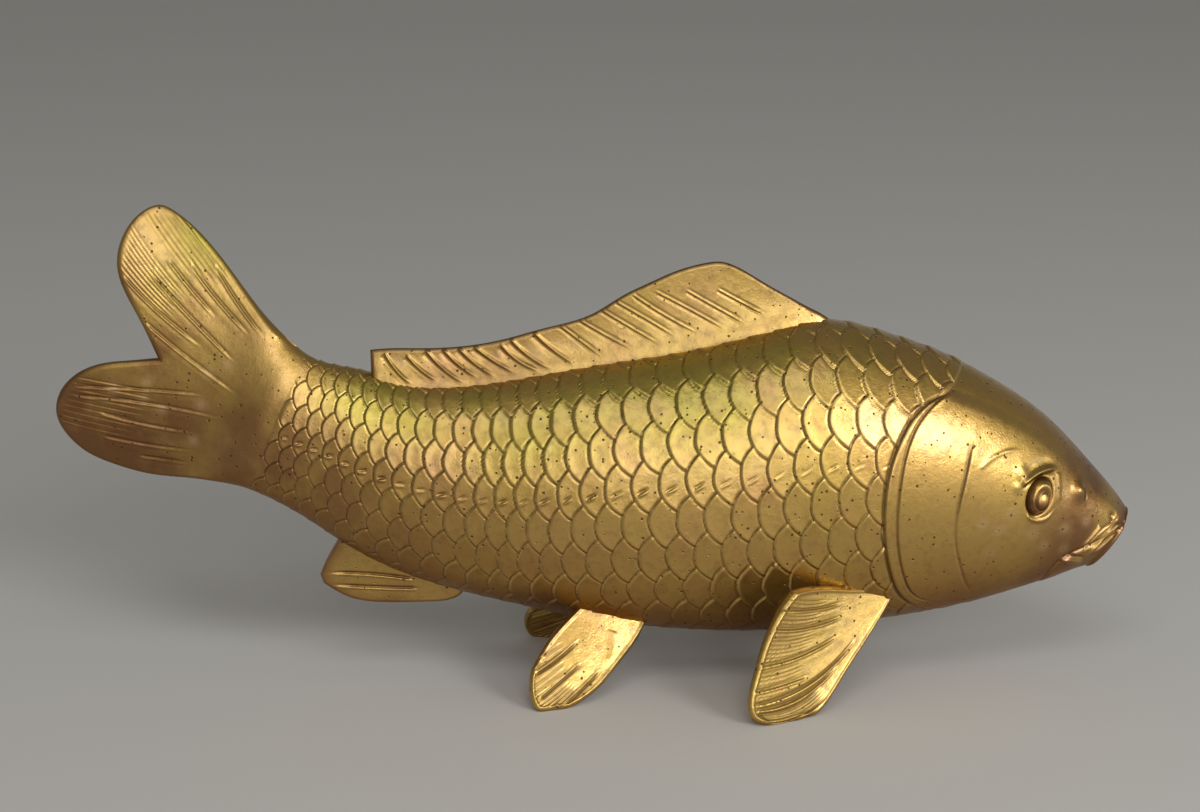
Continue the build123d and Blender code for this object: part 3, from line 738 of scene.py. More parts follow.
# Its outline, lines and spots: places back from the root and up, as shares of its size
TAIL_UPPER = ((0.18, 0.6), (0.42, 0.764), (0.61, 0.901), (0.81, 0.993), (0.9, 0.993))
TAIL_MARGIN = (
    (0.9, 0.993), (0.968, 0.9), (1.0, 0.7), (0.972, 0.54), (0.78, 0.275), (0.616, 0.075),
    (0.735, -0.02), (0.86, -0.128), (0.94, -0.258), (0.976, -0.424), (0.943, -0.6),
)
TAIL_LOWER = ((0.207, -0.6), (0.42, -0.72), (0.6, -0.764), (0.74, -0.762), (0.86, -0.7), (0.943, -0.6))

# Its section at distances from the root: half thickness, half height and bow to the left
TAIL_BLADE = SmoothCurve(
    (0, 3, 9.1, 15, 22, 41.8, 62, 80.6),
    (
        (11.02, 28.24, 0), (10.45, 28.9, 0.0001), (8.5, 31.4, 0.00057), (6.5, 37, 0.0015),
        (4.7, 43.8, 0.0027), (2.2, 61.8, 0.00366), (1.7, 70, 0.00366), (1.38, 76, 0.00365),
    ),
)
TAIL_RAYS = (
    ((0.92, 0.475), (0.715, 0.361), (0.45, 0.26)),
    ((0.8, 0.555), (0.613, 0.439), (0.27, 0.262)),
    ((0.74, 0.256), (0.474, 0.151), (0.2, 0.08)),
    ((0.76, 0.685), (0.586, 0.562), (0.44, 0.47)),
    ((0.66, 0.725), (0.451, 0.567), (0.26, 0.465)),
    ((0.55, 0.78), (0.365, 0.608), (0.19, 0.498)),
    ((0.93, -0.35), (0.613, -0.165), (0.32, -0.012)),
    ((0.9, -0.4), (0.54, -0.232), (0.19, -0.102)),
    ((0.76, -0.445), (0.49, -0.37), (0.3, -0.28)),
    ((0.7, -0.595), (0.45, -0.5), (0.25, -0.39)),
    ((0.5, -0.62), (0.38, -0.56), (0.26, -0.5)),
)
TAIL_FINE = (
    (((0.985, 0.81), (0.805, 0.658), (0.6, 0.52)), ((0.95, 0.54), (0.8, 0.442), (0.62, 0.355)), 9),
    (((0.955, 0.92), (0.8, 0.79), (0.6, 0.645)), ((0.79, 0.985), (0.62, 0.86), (0.42, 0.7)), 7),
    (((0.945, -0.27), (0.76, -0.205), (0.52, -0.13)), ((0.93, -0.6), (0.76, -0.56), (0.55, -0.49)), 9),
)
TAIL_SPOTS = (
    (0.62, -0.1), (0.6, -0.22), (0.75, -0.23), (0.34, -0.08), (0.37, 0.13),
    (0.3, 0.24), (0.3, -0.33), (0.88, -0.1), (0.5, -0.23),
)


def tail_fin():
    """Forked tail, bowed to the left, whose root is the body's own section. Its front rows take
    the body's normals, so that light runs on over the joint."""
    size = np.array(TAIL_SIZE)
    high = TAIL_BLADE.values[0, 1]
    across = crowd(245, 0.45)
    centre = len(across) // 2
    margin = TAIL_MARGIN * size
    along = crowd(200, 0.35)
    top = [(0, high), *(TAIL_UPPER * size), *margin[1:6]]
    upper, above = cut_points(top, len(TAIL_UPPER), along, across[: centre + 1] * 2)
    bottom = [(0, -high), *(TAIL_LOWER * size), *margin[9:4:-1]]
    lower, below = cut_points(bottom, len(TAIL_LOWER), along, (1 - across[centre:]) * 2)
    margin = np.concatenate([above, below[1:]])
    turn = math.pi * (0.5 - across)
    root = np.stack([0 * across, high * np.sin(turn)], -1)
    flat = patch(root, upper, lower, margin)
    distance = rim_distance(flat, np.concatenate([upper, margin, lower[::-1]]))
    back, up = flat[..., 0], flat[..., 1]
    thick, limit, bow = np.moveaxis(TAIL_BLADE.at(back), -1, 0)
    sine = np.clip(up / limit, -1, 1)
    power = 1 + (np.where(sine > 0, RIDGE_POWER, KEEL_POWER) - 1) * np.abs(sine)
    half = thick * (1 - sine**2) ** (power / 2) * rounded(distance, 0.05 + 2.2 * step(back, 0, 16))
    half[:, [0, -1]] = 0
    half[-1] = 0
    lean = math.radians(BODY_SHARES[0][-1])
    away = np.array((-math.cos(lean), 0, math.sin(lean)))
    rise = np.array((math.sin(lean), 0, math.cos(lean)))
    middle = TAIL_ROOT + away * back[..., None] + rise * up[..., None]
    middle[..., 1] += bow * up**2
    angle = np.degrees(np.arcsin(sine))
    # The lower lobe, and the keel side near the root, are painted brown: partly rust, partly painted
    # shade
    lower_lobe_rust_and_shade = (0.5 + 0.5 * step(back, 6, 36)) * step(-angle, -10, 20)
    fork = 0.6 * bell(np.hypot(back - 47, up - 4), 9) + 0.5 * bell(np.hypot(back - 72, up - 24), 8)
    brown = low_rust_and_shade(angle, 1 - step(back, 0, 20), 1 - 0.6 * step(back, 4, 40))
    tags = {
        "rust": np.maximum(lower_lobe_rust_and_shade, brown) + fork,
        "green": step(up / size[1], 0.35, 0.9) * step(back, 20, 60),
        # Painted shade: the blade beyond the root is painted a little darker all over, and darker still
        # along its rim
        "dark": (0.1 + 0.3 * (1 - step(distance, 0.4, 1.6))) * step(back, 0, 14),
        "pale": sum(bell(np.hypot(back - x, up - y), 2.1) for x, y in TAIL_SPOTS * size),
    }
    joint = body_normal(0 * angle, angle)
    ease = (1 - step(back, 0, 5))[..., None], joint * np.array((1, -1, 1))
    middle = np.concatenate([middle[:1] - away * TAIL_CAP, middle])
    pad = ((1, 0), (0, 0))
    flat = np.concatenate([flat[:1], flat])
    half = np.pad(half, pad)
    tags = {tag: np.pad(values, pad, "edge") for tag, values in tags.items()}
    ease = [np.concatenate([part[:1], part]) for part in ease]
    drawn = [(TAIL_RAYS, RAY)] + [(between(*group), HAIR) for group in TAIL_FINE]
    return fin_piece("tail_fin_rayed", "tail_fin", middle, half, flat, size, drawn, tags, 1, ease)


# Anal fin: the stations of its front and rear on the keel, its depth in mm, and its outline and
# lines as shares of its length and depth
ANAL_STATIONS = (4.24, 2.55)
ANAL_DEPTH = 20.5
ANAL_SHARES = (
    (-0.06, 0.08), (0.16, 0.5), (0.43, 0.8), (0.71, 0.99),
    (0.94, 0.93), (0.99, 0.8), (0.995, 0.45), (0.985, 0.11),
)
ANAL_LINES = (((0.28, 0.3), (0.6, 0.62), (0.88, 0.88)), ((0.34, 0.16), (0.68, 0.42), (0.95, 0.7)))


def anal_fin():
    """Small fin under the tail root, with two long engraved lines: the patch between its leading
    edge, rear edge, tip and root."""
    front, end = body_point(np.array(ANAL_STATIONS), np.full(2, -90.0))
    chord = end - front
    length = np.linalg.norm(chord)
    along = chord / length
    down = np.cross((0, -1, 0), along)
    size = (length, ANAL_DEPTH)
    shares = np.array(ANAL_SHARES) * size
    across = crowd(110, 0.4)
    lead = even_points([(shares[0, 0], -ROOT_DEPTH), *shares[:5]], across)
    rear = even_points([(shares[-1, 0], -ROOT_DEPTH), *shares[:4:-1]], across)
    tip = even_points(shares[4:6], across)
    inner = shares[0, 0] + (shares[-1, 0] - shares[0, 0]) * across
    root = np.stack([inner, -ROOT_DEPTH + 0 * across], -1)
    flat = patch(root, lead, rear, tip)
    distance = rim_distance(flat, np.concatenate([lead, tip, rear[::-1]]))
    depth = np.clip((ANAL_DEPTH - flat[..., 1]) / (ANAL_DEPTH + ROOT_DEPTH), 0, 1)
    half = (1.1 + 2.1 * depth**1.5) * rounded(distance, 1.5)
    half[[0, -1]] = 0
    half[:, [0, -1]] = 0
    middle = front + along * flat[..., :1] + down * flat[..., 1:]
    tags = {"rust": 0.6 * bell(distance, 3) * step(flat[..., 0], 5, 20) + 0.25}
    drawn = ((ANAL_LINES, GROOVE),)
    return fin_piece("anal_fin_lined", "anal_fin", middle, half, flat, size, drawn, tags)


# Outlines of the paired fins from the leading edge round to the rear one, as shares of length
# and chord
PECTORAL_SHARES = (
    (-0.14, 0.0), (0.05, 0.27), (0.22, 0.535), (0.345, 0.69), (0.385, 0.725), (0.47, 0.71),
    (0.6, 0.65), (0.73, 0.555), (0.86, 0.422), (0.975, 0.29), (1.03, 0.14), (1.02, -0.02),
    (0.9, -0.19), (0.76, -0.28), (0.6, -0.285), (0.42, -0.23), (0.2, -0.17), (0.0, -0.1),
    (-0.2, -0.02),
)
PELVIC_SHARES = (
    (-0.2, 0.42), (0.0, 0.45), (0.33, 0.415), (0.61, 0.355), (0.79, 0.26), (0.93, 0.13),
    (1.05, 0.0), (1.08, -0.17), (1.03, -0.32), (0.96, -0.41), (0.88, -0.48), (0.8, -0.525),
    (0.49, -0.55), (0.15, -0.47), (-0.22, -0.38),
)


class FinFrame:
    """Plane of a paired fin on the right: X from its root, at a station and angle of the body, to
    its tip on the floor, a sweep back and a reach outwards, and Y across it. Lean is a direction
    that lies in the plane."""

    def __init__(self, station, angle, sweep, reach, lean, chord):
        self.root = body_point(np.array(float(station)), np.array(float(angle)))
        towards = np.array((self.root[0] - sweep, -reach, 0)) - self.root
        self.size = (np.linalg.norm(towards), chord)
        self.x = towards / self.size[0]
        self.z = unit(np.cross(self.x, lean))
        self.y = np.cross(self.z, self.x)

    def outline(self, shares):
        """Outline points in mm on the plane, with what would go below the floor cut back to it."""
        points = np.array(shares) * self.size
        floor = -(self.root[2] + points[:, 1] * self.y[2]) / self.x[2]
        points[:, 0] = np.minimum(points[:, 0], floor)
        return points

    def place(self, flat, lift):
        """Points of the plane in the figure's frame, lifted off it by a distance."""
        return self.root + self.x * flat[..., :1] + self.y * flat[..., 1:] + self.z * lift[..., None]


# Carved lines of the paired fins, as places along and across them
PECTORAL_MAIN = (
    ((0.53, 0.7), (0.409, 0.505), (0.18, 0.264)),
    ((0.63, 0.62), (0.463, 0.374), (0.216, 0.163)),
    ((0.83, 0.45), (0.649, 0.256), (0.298, 0.061)),
    ((0.94, 0.3), (0.77, 0.135), (0.6, 0.0)),
)
PECTORAL_FINE = (
    (((0.44, 0.72), (0.37, 0.58), (0.25, 0.42)), ((0.8, 0.46), (0.69, 0.32), (0.52, 0.18)), 16),
    (((0.85, 0.4), (0.74, 0.28), (0.58, 0.15)), ((0.96, 0.27), (0.84, 0.13), (0.66, 0.0)), 7),
)
PECTORAL_DEEP = (
    ((0.985, 0.235), (0.74, 0.01), (0.225, -0.05)),
    ((0.995, 0.19), (0.77, -0.035), (0.4, -0.085)),
)
PECTORAL_LOW = (
    ((0.998, 0.15), (0.79, -0.075), (0.56, -0.12)), ((0.985, 0.02), (0.8, -0.175), (0.6, -0.225)), 5,
)
PELVIC_DEEP = (
    ((0.82, -0.43), (0.6, -0.3), (0.34, -0.195)),
    ((0.98, -0.215), (0.736, -0.104), (0.5, -0.005)),
    ((0.89, 0.11), (0.659, 0.197), (0.46, 0.256)),
)
PELVIC_FINE = (
    (((0.74, -0.54), (0.6, -0.46), (0.44, -0.37)), ((1.03, -0.3), (0.86, -0.2), (0.66, -0.11)), 6),
    (((1.06, -0.2), (0.9, -0.1), (0.7, -0.02)), ((0.98, 0.05), (0.86, 0.1), (0.7, 0.15)), 5),
)
PELVIC_FOLD = (((0.1, 0.1), (0.26, 0.262), (0.42, 0.27)),)


def paired_fin(name, node, side, shape, corners, shares, thick, bow, drawn):
    """A paired fin: the patch between its leading edge, margin, rear edge and root, with a bead
    along the rim. Corners are the outline's points where the margin starts and ends. It bows away
    from its plane by the square of the distance from a centre, given with the bend in mm."""
    points = shape.outline(shares)
    first, last = corners
    rows, columns = 160, 150
    lead = even_points(points[: first + 1], crowd(rows, 0.35))
    rear = even_points(points[last:][::-1], crowd(rows, 0.35))
    across = crowd(columns, 0.4)
    margin = even_points(points[first : last + 1], across)
    root = even_points([points[0], points[-1]], across)
    flat = patch(root, lead, rear, margin)
    distance = rim_distance(flat, np.concatenate([lead, margin, rear[::-1]]))
    part = flat[..., 0] / shape.size[0]
    half = thick * (1 - 0.5 * step(part, 0, 1.1)) * rounded(distance, 1.6)
    half += 0.35 * bell(distance - 1.3, 0.7) + 0.7 * (1 - step(part, -0.05, 0.22)) * rounded(distance, 3)
    half[[0, -1]] = 0
    half[:, [0, -1]] = 0
    centre, bend = bow
    lift = -bend * ((flat[..., 1] / shape.size[1] - centre) / 0.8) ** 2
    middle = shape.place(flat, lift)
    tags = {"dark": 0.15 * (1 - step(distance, 0.2, 0.8))}
    if side == "left":
        middle, flat, half = flip(middle * (1, -1, 1)), flip(flat), flip(half)
        tags = {tag: flip(values) for tag, values in tags.items()}
    return fin_piece(name, node, middle, half, flat, shape.size, drawn, tags)


# Height of the eye in mm above the body, from its middle to its rim: dome, groove, ring and edge
EYE_PROFILE = SmoothCurve(
    (0, 0.2, 0.36, 0.46, 0.54, 0.62, 0.72, 0.82, 0.92, 1.04),
    (2.7, 2.6, 2.3, 1.9, 1.45, 1.7, 1.95, 1.6, 0.7, -0.5),
)


def eye_piece(name, side):
    """Domed oval eye: rings of the profile's height whose middle lies forward of and below the
    rim's, and a plain back."""
    drop, forward, back = 2.0, 1.0, -1.2
    turn = np.linspace(0, 2 * math.pi, 145)[:, None]
    turn[-1] = 0
    rim = EYE_PROFILE.places[-1]
    radius = rim * crowd(70, 0.3)[None, :]
    height = np.concatenate([EYE_PROFILE.at(radius), [[back, back]]], 1)
    radius = np.concatenate([radius, [[rim, 0]]], 1)
    recess = bell(radius - 0.54, 0.05) + step(radius, 0.84, 0.98)
    shift = 1 - step(radius, 0.2, 1)
    up = EYE_HALF_HEIGHT * radius * np.sin(turn) - drop * shift
    across = EYE_HALF_WIDTH * radius * np.cos(turn) + EYE_SLANT * up + forward * shift
    points = EYE_CENTRE + EYE_ACROSS * across[..., None] + EYE_UP * up[..., None]
    points = flip(points + EYE_OUT * (height + 0 * across)[..., None])
    # The eye's lower half is painted browner and darker, as painted shade
    low = step(-up - 0.4 * across, 0.2, 3.6)
    tags = {"recess": recess + 0 * across, "rust": 0.3 + 0.7 * low, "dark": 0.3 * low}
    if side == "right":
        tags = {tag: flip(values) for tag, values in tags.items()}
    else:
        points = flip(points * (1, -1, 1))
    return build_piece(name, [points], "eye_brass", [f"eye_{side}"], None, tags)


def linear(hexcode):
    """Linear colour of a written sRGB colour."""
    parts = [int(hexcode[i : i + 2], 16) / 255 for i in (1, 3, 5)]
    return [part / 12.92 if part <= 0.04045 else ((part + 0.055) / 1.055) ** 2.4 for part in parts] + [1]


def add(tree, kind, inputs=(), output=0, **settings):
    """An output of a new shader node with its settings, each input, by place or by name, linked to
    a socket or set to a value."""
    made = tree.nodes.new("ShaderNode" + kind)
    for name, value in settings.items():
        setattr(made, name, value)
    for name, value in inputs.items() if isinstance(inputs, dict) else enumerate(inputs):
        if isinstance(value, bpy.types.NodeSocket):
            tree.links.new(value, made.inputs[name])
        else:
            made.inputs[name].default_value = value
    return made.outputs[output] if made.outputs else made


# Finishes, with their colour setting and roughness: brass castings filed and waxed by hand, which
# shine softly; the same cast brass polished on the eyes, with tighter highlights; and drawn rod
# for the hidden pins, paler and duller
FINISHES = {
    "worn_brass": ("filed_cast_brass", "brass_colour", 0.38),
    "eye_brass": ("polished_cast_brass", "brass_colour", 0.32),
    "pin_brass": ("drawn_brass_rod", "pin_colour", 0.4),
}

# Patterns of the finish, in patches per metre: clouds of patina 45 mm wide, tints of 14 mm,
# mottling of 3 mm, cast grain of 0.8 mm, coarser than real sand grain so that it shows, and
# casting pits 2.4 mm apart
CLOUDS, TINTS, MOTTLE, GRAIN, PITS = 22, 70, 320, 1300, 420


def brass(finish):
    """Cast brass, filed and waxed by hand: bright worn highs under a thin clear wax that whitens
    the highlights, brown patina left in the grooves, brown painted as shade on faces that point
    down, faint green and copper tints, and small casting pits."""
    name, tone, roughness = FINISHES[finish]
    look = bpy.context.scene.carp_look
    material = bpy.data.materials.get(name)
    if material:
        return material
    material = bpy.data.materials.new(name)
    material.use_nodes = True
    tree = material.node_tree
    tree.nodes.clear()
    place = add(tree, "TexCoord", output="Object")
    cloud, tint, mottle, grain = [
        add(tree, "TexNoise", {"Vector": place, "Scale": scale, "Detail": detail}, "Fac")
        for scale, detail in ((CLOUDS, 3), (TINTS, 4), (MOTTLE, 4), (GRAIN, 3))
    ]
    recess, pale, green, rust, shade = [
        add(tree, "Attribute", output="Fac", attribute_name=tag)
        for tag in ("recess", "pale", "green", "rust", "dark")
    ]

    # Map Range takes a value, its least and most, and what they turn into
    green = add(tree, "Math", (green, 0.25), operation="ADD")
    green = add(tree, "Math", (add(tree, "MapRange", (cloud, 0.35, 0.6)), green), operation="MULTIPLY")
    green = add(tree, "Math", (green, 0.9), operation="MULTIPLY")
    copper = add(tree, "MapRange", (tint, 0.5, 0.72, 0, 0.35))
    patchy = add(tree, "MapRange", (tint, 0.3, 0.55, 0.45, 0.95))
    rust = add(tree, "Math", (rust, patchy), operation="MULTIPLY")
    stain = add(tree, "MapRange", (mottle, 0.5, 0.75, 0, 0.4))
    pale = add(tree, "Math", (pale, 0.55), operation="MULTIPLY")

    # A pit is a spot round one in some of the cells, of a size that varies by cell
    distance = add(tree, "TexVoronoi", {"Vector": place, "Scale": PITS}, "Distance")
    chance = add(tree, "SeparateColor", (distance.node.outputs["Color"],)).node.outputs
    reach = add(tree, "Math", (chance[1], 0.14), operation="MULTIPLY")
    reach = add(tree, "Math", (distance, reach), operation="SUBTRACT")
    picked = add(tree, "Math", (chance[0], cloud), operation="ADD")
    picked = add(tree, "MapRange", (picked, 0.95, 1.0))
    pit = add(tree, "Math", (add(tree, "MapRange", (reach, 0.1, 0.04)), picked), operation="MULTIPLY")

    # Faces that point down are painted brown, as painted shade. Grooves and pits keep their brown
    # patina. The places tagged dark take the same colour: darker fin rims, and painted shade on the
    # dorsal fin, the tail and the eye's lower half
    facing = add(tree, "SeparateXYZ", (add(tree, "NewGeometry", output="Normal"),), 2)
    under = add(tree, "Math", (cloud, 0.3), operation="MULTIPLY")
    under = add(tree, "Math", (facing, under), operation="ADD")
    under = add(tree, "MapRange", (under, 0.0, -0.5, 0, 0.72))
    recess = add(tree, "MapRange", (recess, 0.15, 1.0))
    dark = add(tree, "Math", (recess, pit), operation="MAXIMUM")
    dark = add(tree, "Math", (dark, shade), operation="MAXIMUM")
    groove = add(tree, "Math", (dark, 0.85), operation="MULTIPLY")

    colour = tuple(getattr(look, tone))
    for share, layer in (
        (green, linear("#b3a23a")), (copper, linear("#bd8450")), (rust, linear("#85521f")),
        (stain, linear("#7d5d2a")), (pale, linear("#d9b27c")), (under, linear("#85571a")),
        (groove, tuple(look.patina_colour)),
    ):
        layers = {"Factor": share, "A": colour, "B": layer}
        colour = add(tree, "Mix", layers, "Result", data_type="RGBA")

    dull = add(tree, "Math", (dark, 0.2), operation="MULTIPLY")
    rough = add(tree, "MapRange", (mottle, 0.3, 0.7, roughness - 0.06, roughness + 0.08))
    rough = add(tree, "Math", (rough, dull), operation="ADD")
    coarse = add(tree, "Math", (mottle, 0.6), operation="MULTIPLY")
    fine = add(tree, "Math", (grain, 0.3), operation="MULTIPLY")
    surface = add(tree, "Math", (coarse, fine), operation="ADD")
    hollow = add(tree, "Math", (pit, 0.8), operation="MULTIPLY")
    surface = add(tree, "Math", (surface, hollow), operation="SUBTRACT")
    bump = add(tree, "Bump", {"Strength": 0.7, "Distance": 0.0003, "Height": surface})
    bare = add(tree, "Math", (dark, 0.6), operation="MULTIPLY")
    bare = add(tree, "Math", (bare, under), operation="MAXIMUM")
    wax = add(tree, "MapRange", (cloud, 0.3, 0.7, 1.0, 0.7))
    wax = add(tree, "Math", (wax, bare), operation="SUBTRACT")
    inputs = {
        "Base Color": colour, "Metallic": 1.0, "Roughness": rough, "Normal": bump,
        "Coat Weight": wax, "Coat Roughness": 0.24, "Coat IOR": 1.6, "Coat Normal": bump,
    }
    add(tree, "OutputMaterial", {"Surface": add(tree, "BsdfPrincipled", inputs)})
    return material


class CarpLook(bpy.types.PropertyGroup):
    """Relief and colours of the casting, and how finely it is cut up."""

    scale_relief: FloatProperty(
        name="Scale relief", description="Rise of a scale at its free edge", default=0.00085,
        unit="LENGTH",
    )
    groove_depth: FloatProperty(
        name="Groove depth", description="Depth of the grooves round the scales", default=0.0003,
        unit="LENGTH",
    )
    groove_width: FloatProperty(
        name="Groove width", description="Half width of those grooves", default=0.0005,
        unit="LENGTH",
    )
    gill_relief: FloatProperty(
        name="Gill relief", description="Rise of the gill cover", default=0.0009, unit="LENGTH",
    )
    brass_colour: FloatVectorProperty(
        name="Brass", description="Colour of the bare castings", default=linear("#c89f4e"),
        size=4, min=0, max=1, subtype="COLOR",
    )
    pin_colour: FloatVectorProperty(
        name="Pins", description="Colour of the drawn rod", default=linear("#b8974f"),
        size=4, min=0, max=1, subtype="COLOR",
    )
    patina_colour: FloatVectorProperty(
        name="Patina", description="Colour of grooves and pits", default=linear("#452d14"),
        size=4, min=0, max=1, subtype="COLOR",
    )
    rows: IntProperty(
        name="Rows", description="Grid rows along each stretch of the flank", default=240,
    )
    columns: IntProperty(
        name="Columns", description="Grid columns up each flank", default=320,
    )


class CarpStage(bpy.types.PropertyGroup):
    """Floor, lamps and sky."""

    floor_size: FloatProperty(
        name="Floor size", description="Side of the square floor", default=60, unit="LENGTH",
    )
    floor_colour: FloatVectorProperty(
        name="Floor", description="Colour of the floor", default=linear("#d9d7d2"),
        size=4, min=0, max=1, subtype="COLOR",
    )
    front_power: FloatProperty(
        name="Front box", description="Power of the tall box by the camera", default=7.5,
        unit="POWER",
    )
    rear_power: FloatProperty(
        name="Rear box", description="Power of the dimmer box towards the tail", default=1.4,
        unit="POWER",
    )
    upper_power: FloatProperty(
        name="Upper box", description="Power of the box above", default=5.8, unit="POWER",
    )
    side_power: FloatProperty(
        name="Side box", description="Power of the bright box at the head's side", default=14.3,
        unit="POWER",
    )
    low_power: FloatProperty(
        name="Low box", description="Power of the box low before the snout", default=2.1,
        unit="POWER",
    )
    horizon_level: FloatProperty(
        name="Horizon level", description="Brightness of the sky near the floor", default=0.42,
    )
    ceiling_level: FloatProperty(
        name="Ceiling level", description="Brightness of the sky overhead", default=0.19,
    )


class CARP_OT_body(bpy.types.Operator):
    """Build both flanks with their scales, gill covers and lips"""

    bl_idname = "carp.body"
    bl_label = "Body"

    def execute(self, context):
        look = context.scene.carp_look

        def rear(share, t):
            return TRUNK_SPLIT * share * GILL_REAR.at(t)

        def front(share, t):
            return (TRUNK_SPLIT + (1 - TRUNK_SPLIT) * share) * GILL_REAR.at(t)

        def head(share, t):
            return GILL_REAR.at(t) + share * (MOUTH_STATION - GILL_REAR.at(t))

        even = ((0.5, 1, 0),)
        features = ((0.03, 0.04, 2.5), (0.22, 0.025, 2.0), (0.49, 0.09, 1.0), (0.9, 0.15, 1.0))
        stretches = (
            ("rear_trunk", rear, spread(look.rows, even)),
            ("front_trunk", front, spread(look.rows + 30, even)),
            ("head", head, spread(look.rows - 40, features)),
        )
        for side in ("right", "left"):
            for name, along, share in stretches:
                flank_piece(f"{name}_{side}", side, along, share, look.columns, look)
        return {"FINISHED"}


class CARP_OT_fins(bpy.types.Operator):
    """Build the dorsal, tail, anal, pectoral and pelvic fins"""

    bl_idname = "carp.fins"
    bl_label = "Fins"

    def execute(self, context):
        dorsal_fin()
        tail_fin()
        anal_fin()
        pectoral = FinFrame(
            station=9.62, angle=-50, sweep=45, reach=56.7, lean=(-1.0, -0.44, 0.31), chord=40.5,
        )
        pelvic = FinFrame(
            station=6.1, angle=-64, sweep=22.5, reach=38, lean=(1.0, 0.13, -0.24), chord=28,
        )
        rays = [(PECTORAL_MAIN, RAY), (PECTORAL_DEEP, GROOVE), (between(*PECTORAL_LOW), GROOVE)]
        rays += [(between(*group), HAIR) for group in PECTORAL_FINE]
        paddle = [(PELVIC_DEEP, GROOVE), (PELVIC_FOLD, FOLD)]
        paddle += [(between(*group), HAIR) for group in PELVIC_FINE]
        kinds = (
            ("pectoral", pectoral, (4, 12), PECTORAL_SHARES, 2.3, (0.22, 5), rays),
            ("pelvic", pelvic, (4, 11), PELVIC_SHARES, 2.2, (0, 1.5), paddle),
        )
        for side in ("right", "left"):
            for kind, *form in kinds:
                node = f"{kind}_fin_{side}"
                paired_fin(node + "_rayed", node, side, *form)
        return {"FINISHED"}


class CARP_OT_eyes(bpy.types.Operator):
    """Build the two domed eyes"""

    bl_idname = "carp.eyes"
    bl_label = "Eyes"

    def execute(self, context):
        for side in ("right", "left"):
            eye_piece(f"eye_{side}_domed", side)
        return {"FINISHED"}


class CARP_OT_pins(bpy.types.Operator):
    """Give the hidden pins their brass"""

    bl_idname = "carp.pins"
    bl_label = "Pins"

    def execute(self, context):
        for name in ("fin_pins", "seam_pins"):
            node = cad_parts[name]
            if not node.material_slots:
                node.data.materials.append(None)
            node.material_slots[0].material = brass("pin_brass")
        return {"FINISHED"}


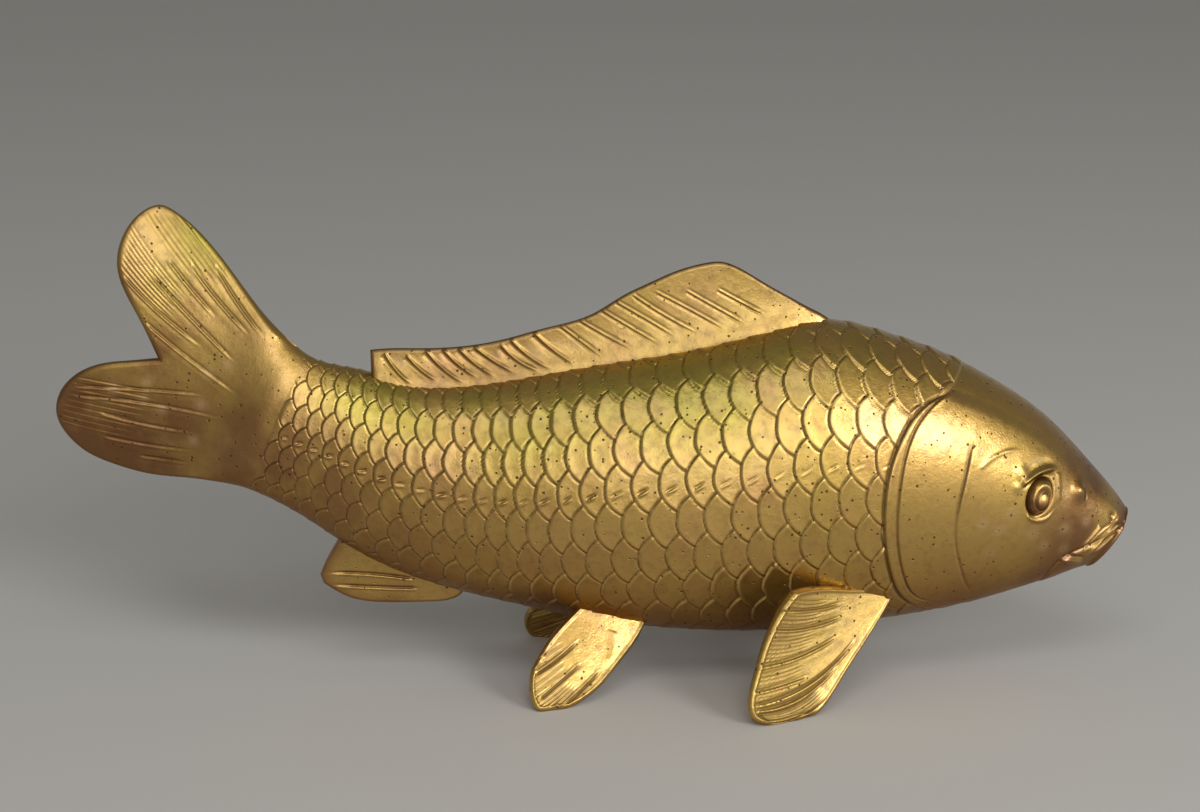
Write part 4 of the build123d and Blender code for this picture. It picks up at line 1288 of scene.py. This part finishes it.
class CARP_OT_stage(bpy.types.Operator):
    """Set up the floor, the lamps and the camera"""

    bl_idname = "carp.stage"
    bl_label = "Stage"

    def execute(self, context):
        settings = context.scene.carp_stage
        scene = context.scene
        far = settings.floor_size / 2
        corners = [(-far, -far, 0), (far, -far, 0), (far, far, 0), (-far, far, 0)]
        mesh = bpy.data.meshes.new("floor")
        mesh.from_pydata(corners, [], [(0, 1, 2, 3)])
        material = bpy.data.materials.new("pale_floor")
        material.use_nodes = True
        shader = material.node_tree.nodes["Principled BSDF"]
        shader.inputs["Base Color"].default_value = settings.floor_colour
        shader.inputs["Roughness"].default_value = 0.9
        mesh.materials.append(material)
        floor = bpy.data.objects.new("floor", mesh)
        scene.collection.objects.link(floor)

        world = bpy.data.worlds.new("studio")
        world.use_nodes = True
        tree = world.node_tree
        above = add(tree, "SeparateXYZ", (add(tree, "TexCoord", output="Generated"),), 2)
        levels = (settings.horizon_level, settings.ceiling_level)
        level = add(tree, "MapRange", (above, 0.0, 0.6, *levels))
        background = tree.nodes["Background"]
        background.inputs["Color"].default_value = linear("#f2f0ec")
        tree.links.new(level, background.inputs["Strength"])
        scene.world = world

        # Lamps on a sphere round the middle of the figure: degrees round from the camera's side
        # and up, size in metres, and power
        middle, lamp_distance = np.array((0, 0, 0.09)), 2.0
        for name, turn, rise, size, power in (
            ("front_box", 6, 17, (0.75, 1.15), settings.front_power),
            ("rear_box", -16, 22, (0.7, 1.3), settings.rear_power),
            ("upper_box", -4, 53, (1.3, 0.7), settings.upper_power),
            ("side_box", 39, 19, (0.7, 0.6), settings.side_power),
            ("low_box", 62, 3, (0.5, 0.3), settings.low_power),
        ):
            lamp = bpy.data.lights.new(name, "AREA")
            lamp.shape = "RECTANGLE"
            lamp.size, lamp.size_y = size
            lamp.energy = power
            holder = bpy.data.objects.new(name, lamp)
            turn, rise = math.radians(turn), math.radians(rise)
            flat = math.cos(rise)
            towards = (math.sin(turn) * flat, -math.cos(turn) * flat, math.sin(rise))
            holder.location = middle + lamp_distance * np.array(towards)
            holder.rotation_euler = (math.radians(90) - rise, 0, turn)
            scene.collection.objects.link(holder)

        camera = bpy.data.cameras.new("photo_camera")
        camera.lens = 80.25
        camera.sensor_width = 36
        camera.clip_start = 0.05
        holder = bpy.data.objects.new("photo_camera", camera)
        around, above, distance, aim = math.radians(-3), math.radians(16), 0.99, 0.105
        holder.location = (
            distance * math.sin(around) * math.cos(above),
            -distance * math.cos(around) * math.cos(above),
            aim + distance * math.sin(above),
        )
        holder.rotation_euler = (math.radians(90) - above, 0, around)
        scene.collection.objects.link(holder)
        scene.camera = holder
        scene.view_settings.view_transform = "Standard"
        return {"FINISHED"}


class CARP_PT_panel(bpy.types.Panel):
    """Sidebar panel of the carp"""

    bl_idname = "CARP_PT_panel"
    bl_label = "Carp"
    bl_space_type = "VIEW_3D"
    bl_region_type = "UI"
    bl_category = "Carp"

    def draw(self, context):
        for group in (context.scene.carp_look, context.scene.carp_stage):
            for name in group.bl_rna.properties.keys():
                if name not in {"rna_type", "name"}:
                    self.layout.prop(group, name)
        for operator in OPERATORS:
            self.layout.operator(operator.bl_idname)


OPERATORS = (CARP_OT_body, CARP_OT_fins, CARP_OT_eyes, CARP_OT_pins, CARP_OT_stage)
CLASSES = (CarpLook, CarpStage) + OPERATORS + (CARP_PT_panel,)


def register():
    for kind in CLASSES:
        bpy.utils.register_class(kind)
    bpy.types.Scene.carp_look = PointerProperty(type=CarpLook)
    bpy.types.Scene.carp_stage = PointerProperty(type=CarpStage)


def unregister():
    del bpy.types.Scene.carp_stage
    del bpy.types.Scene.carp_look
    for kind in reversed(CLASSES):
        bpy.utils.unregister_class(kind)


def main():
    register()
    for operator in OPERATORS:
        group, name = operator.bl_idname.split(".")
        getattr(getattr(bpy.ops, group), name)()


if __name__ == "__main__":
    main()
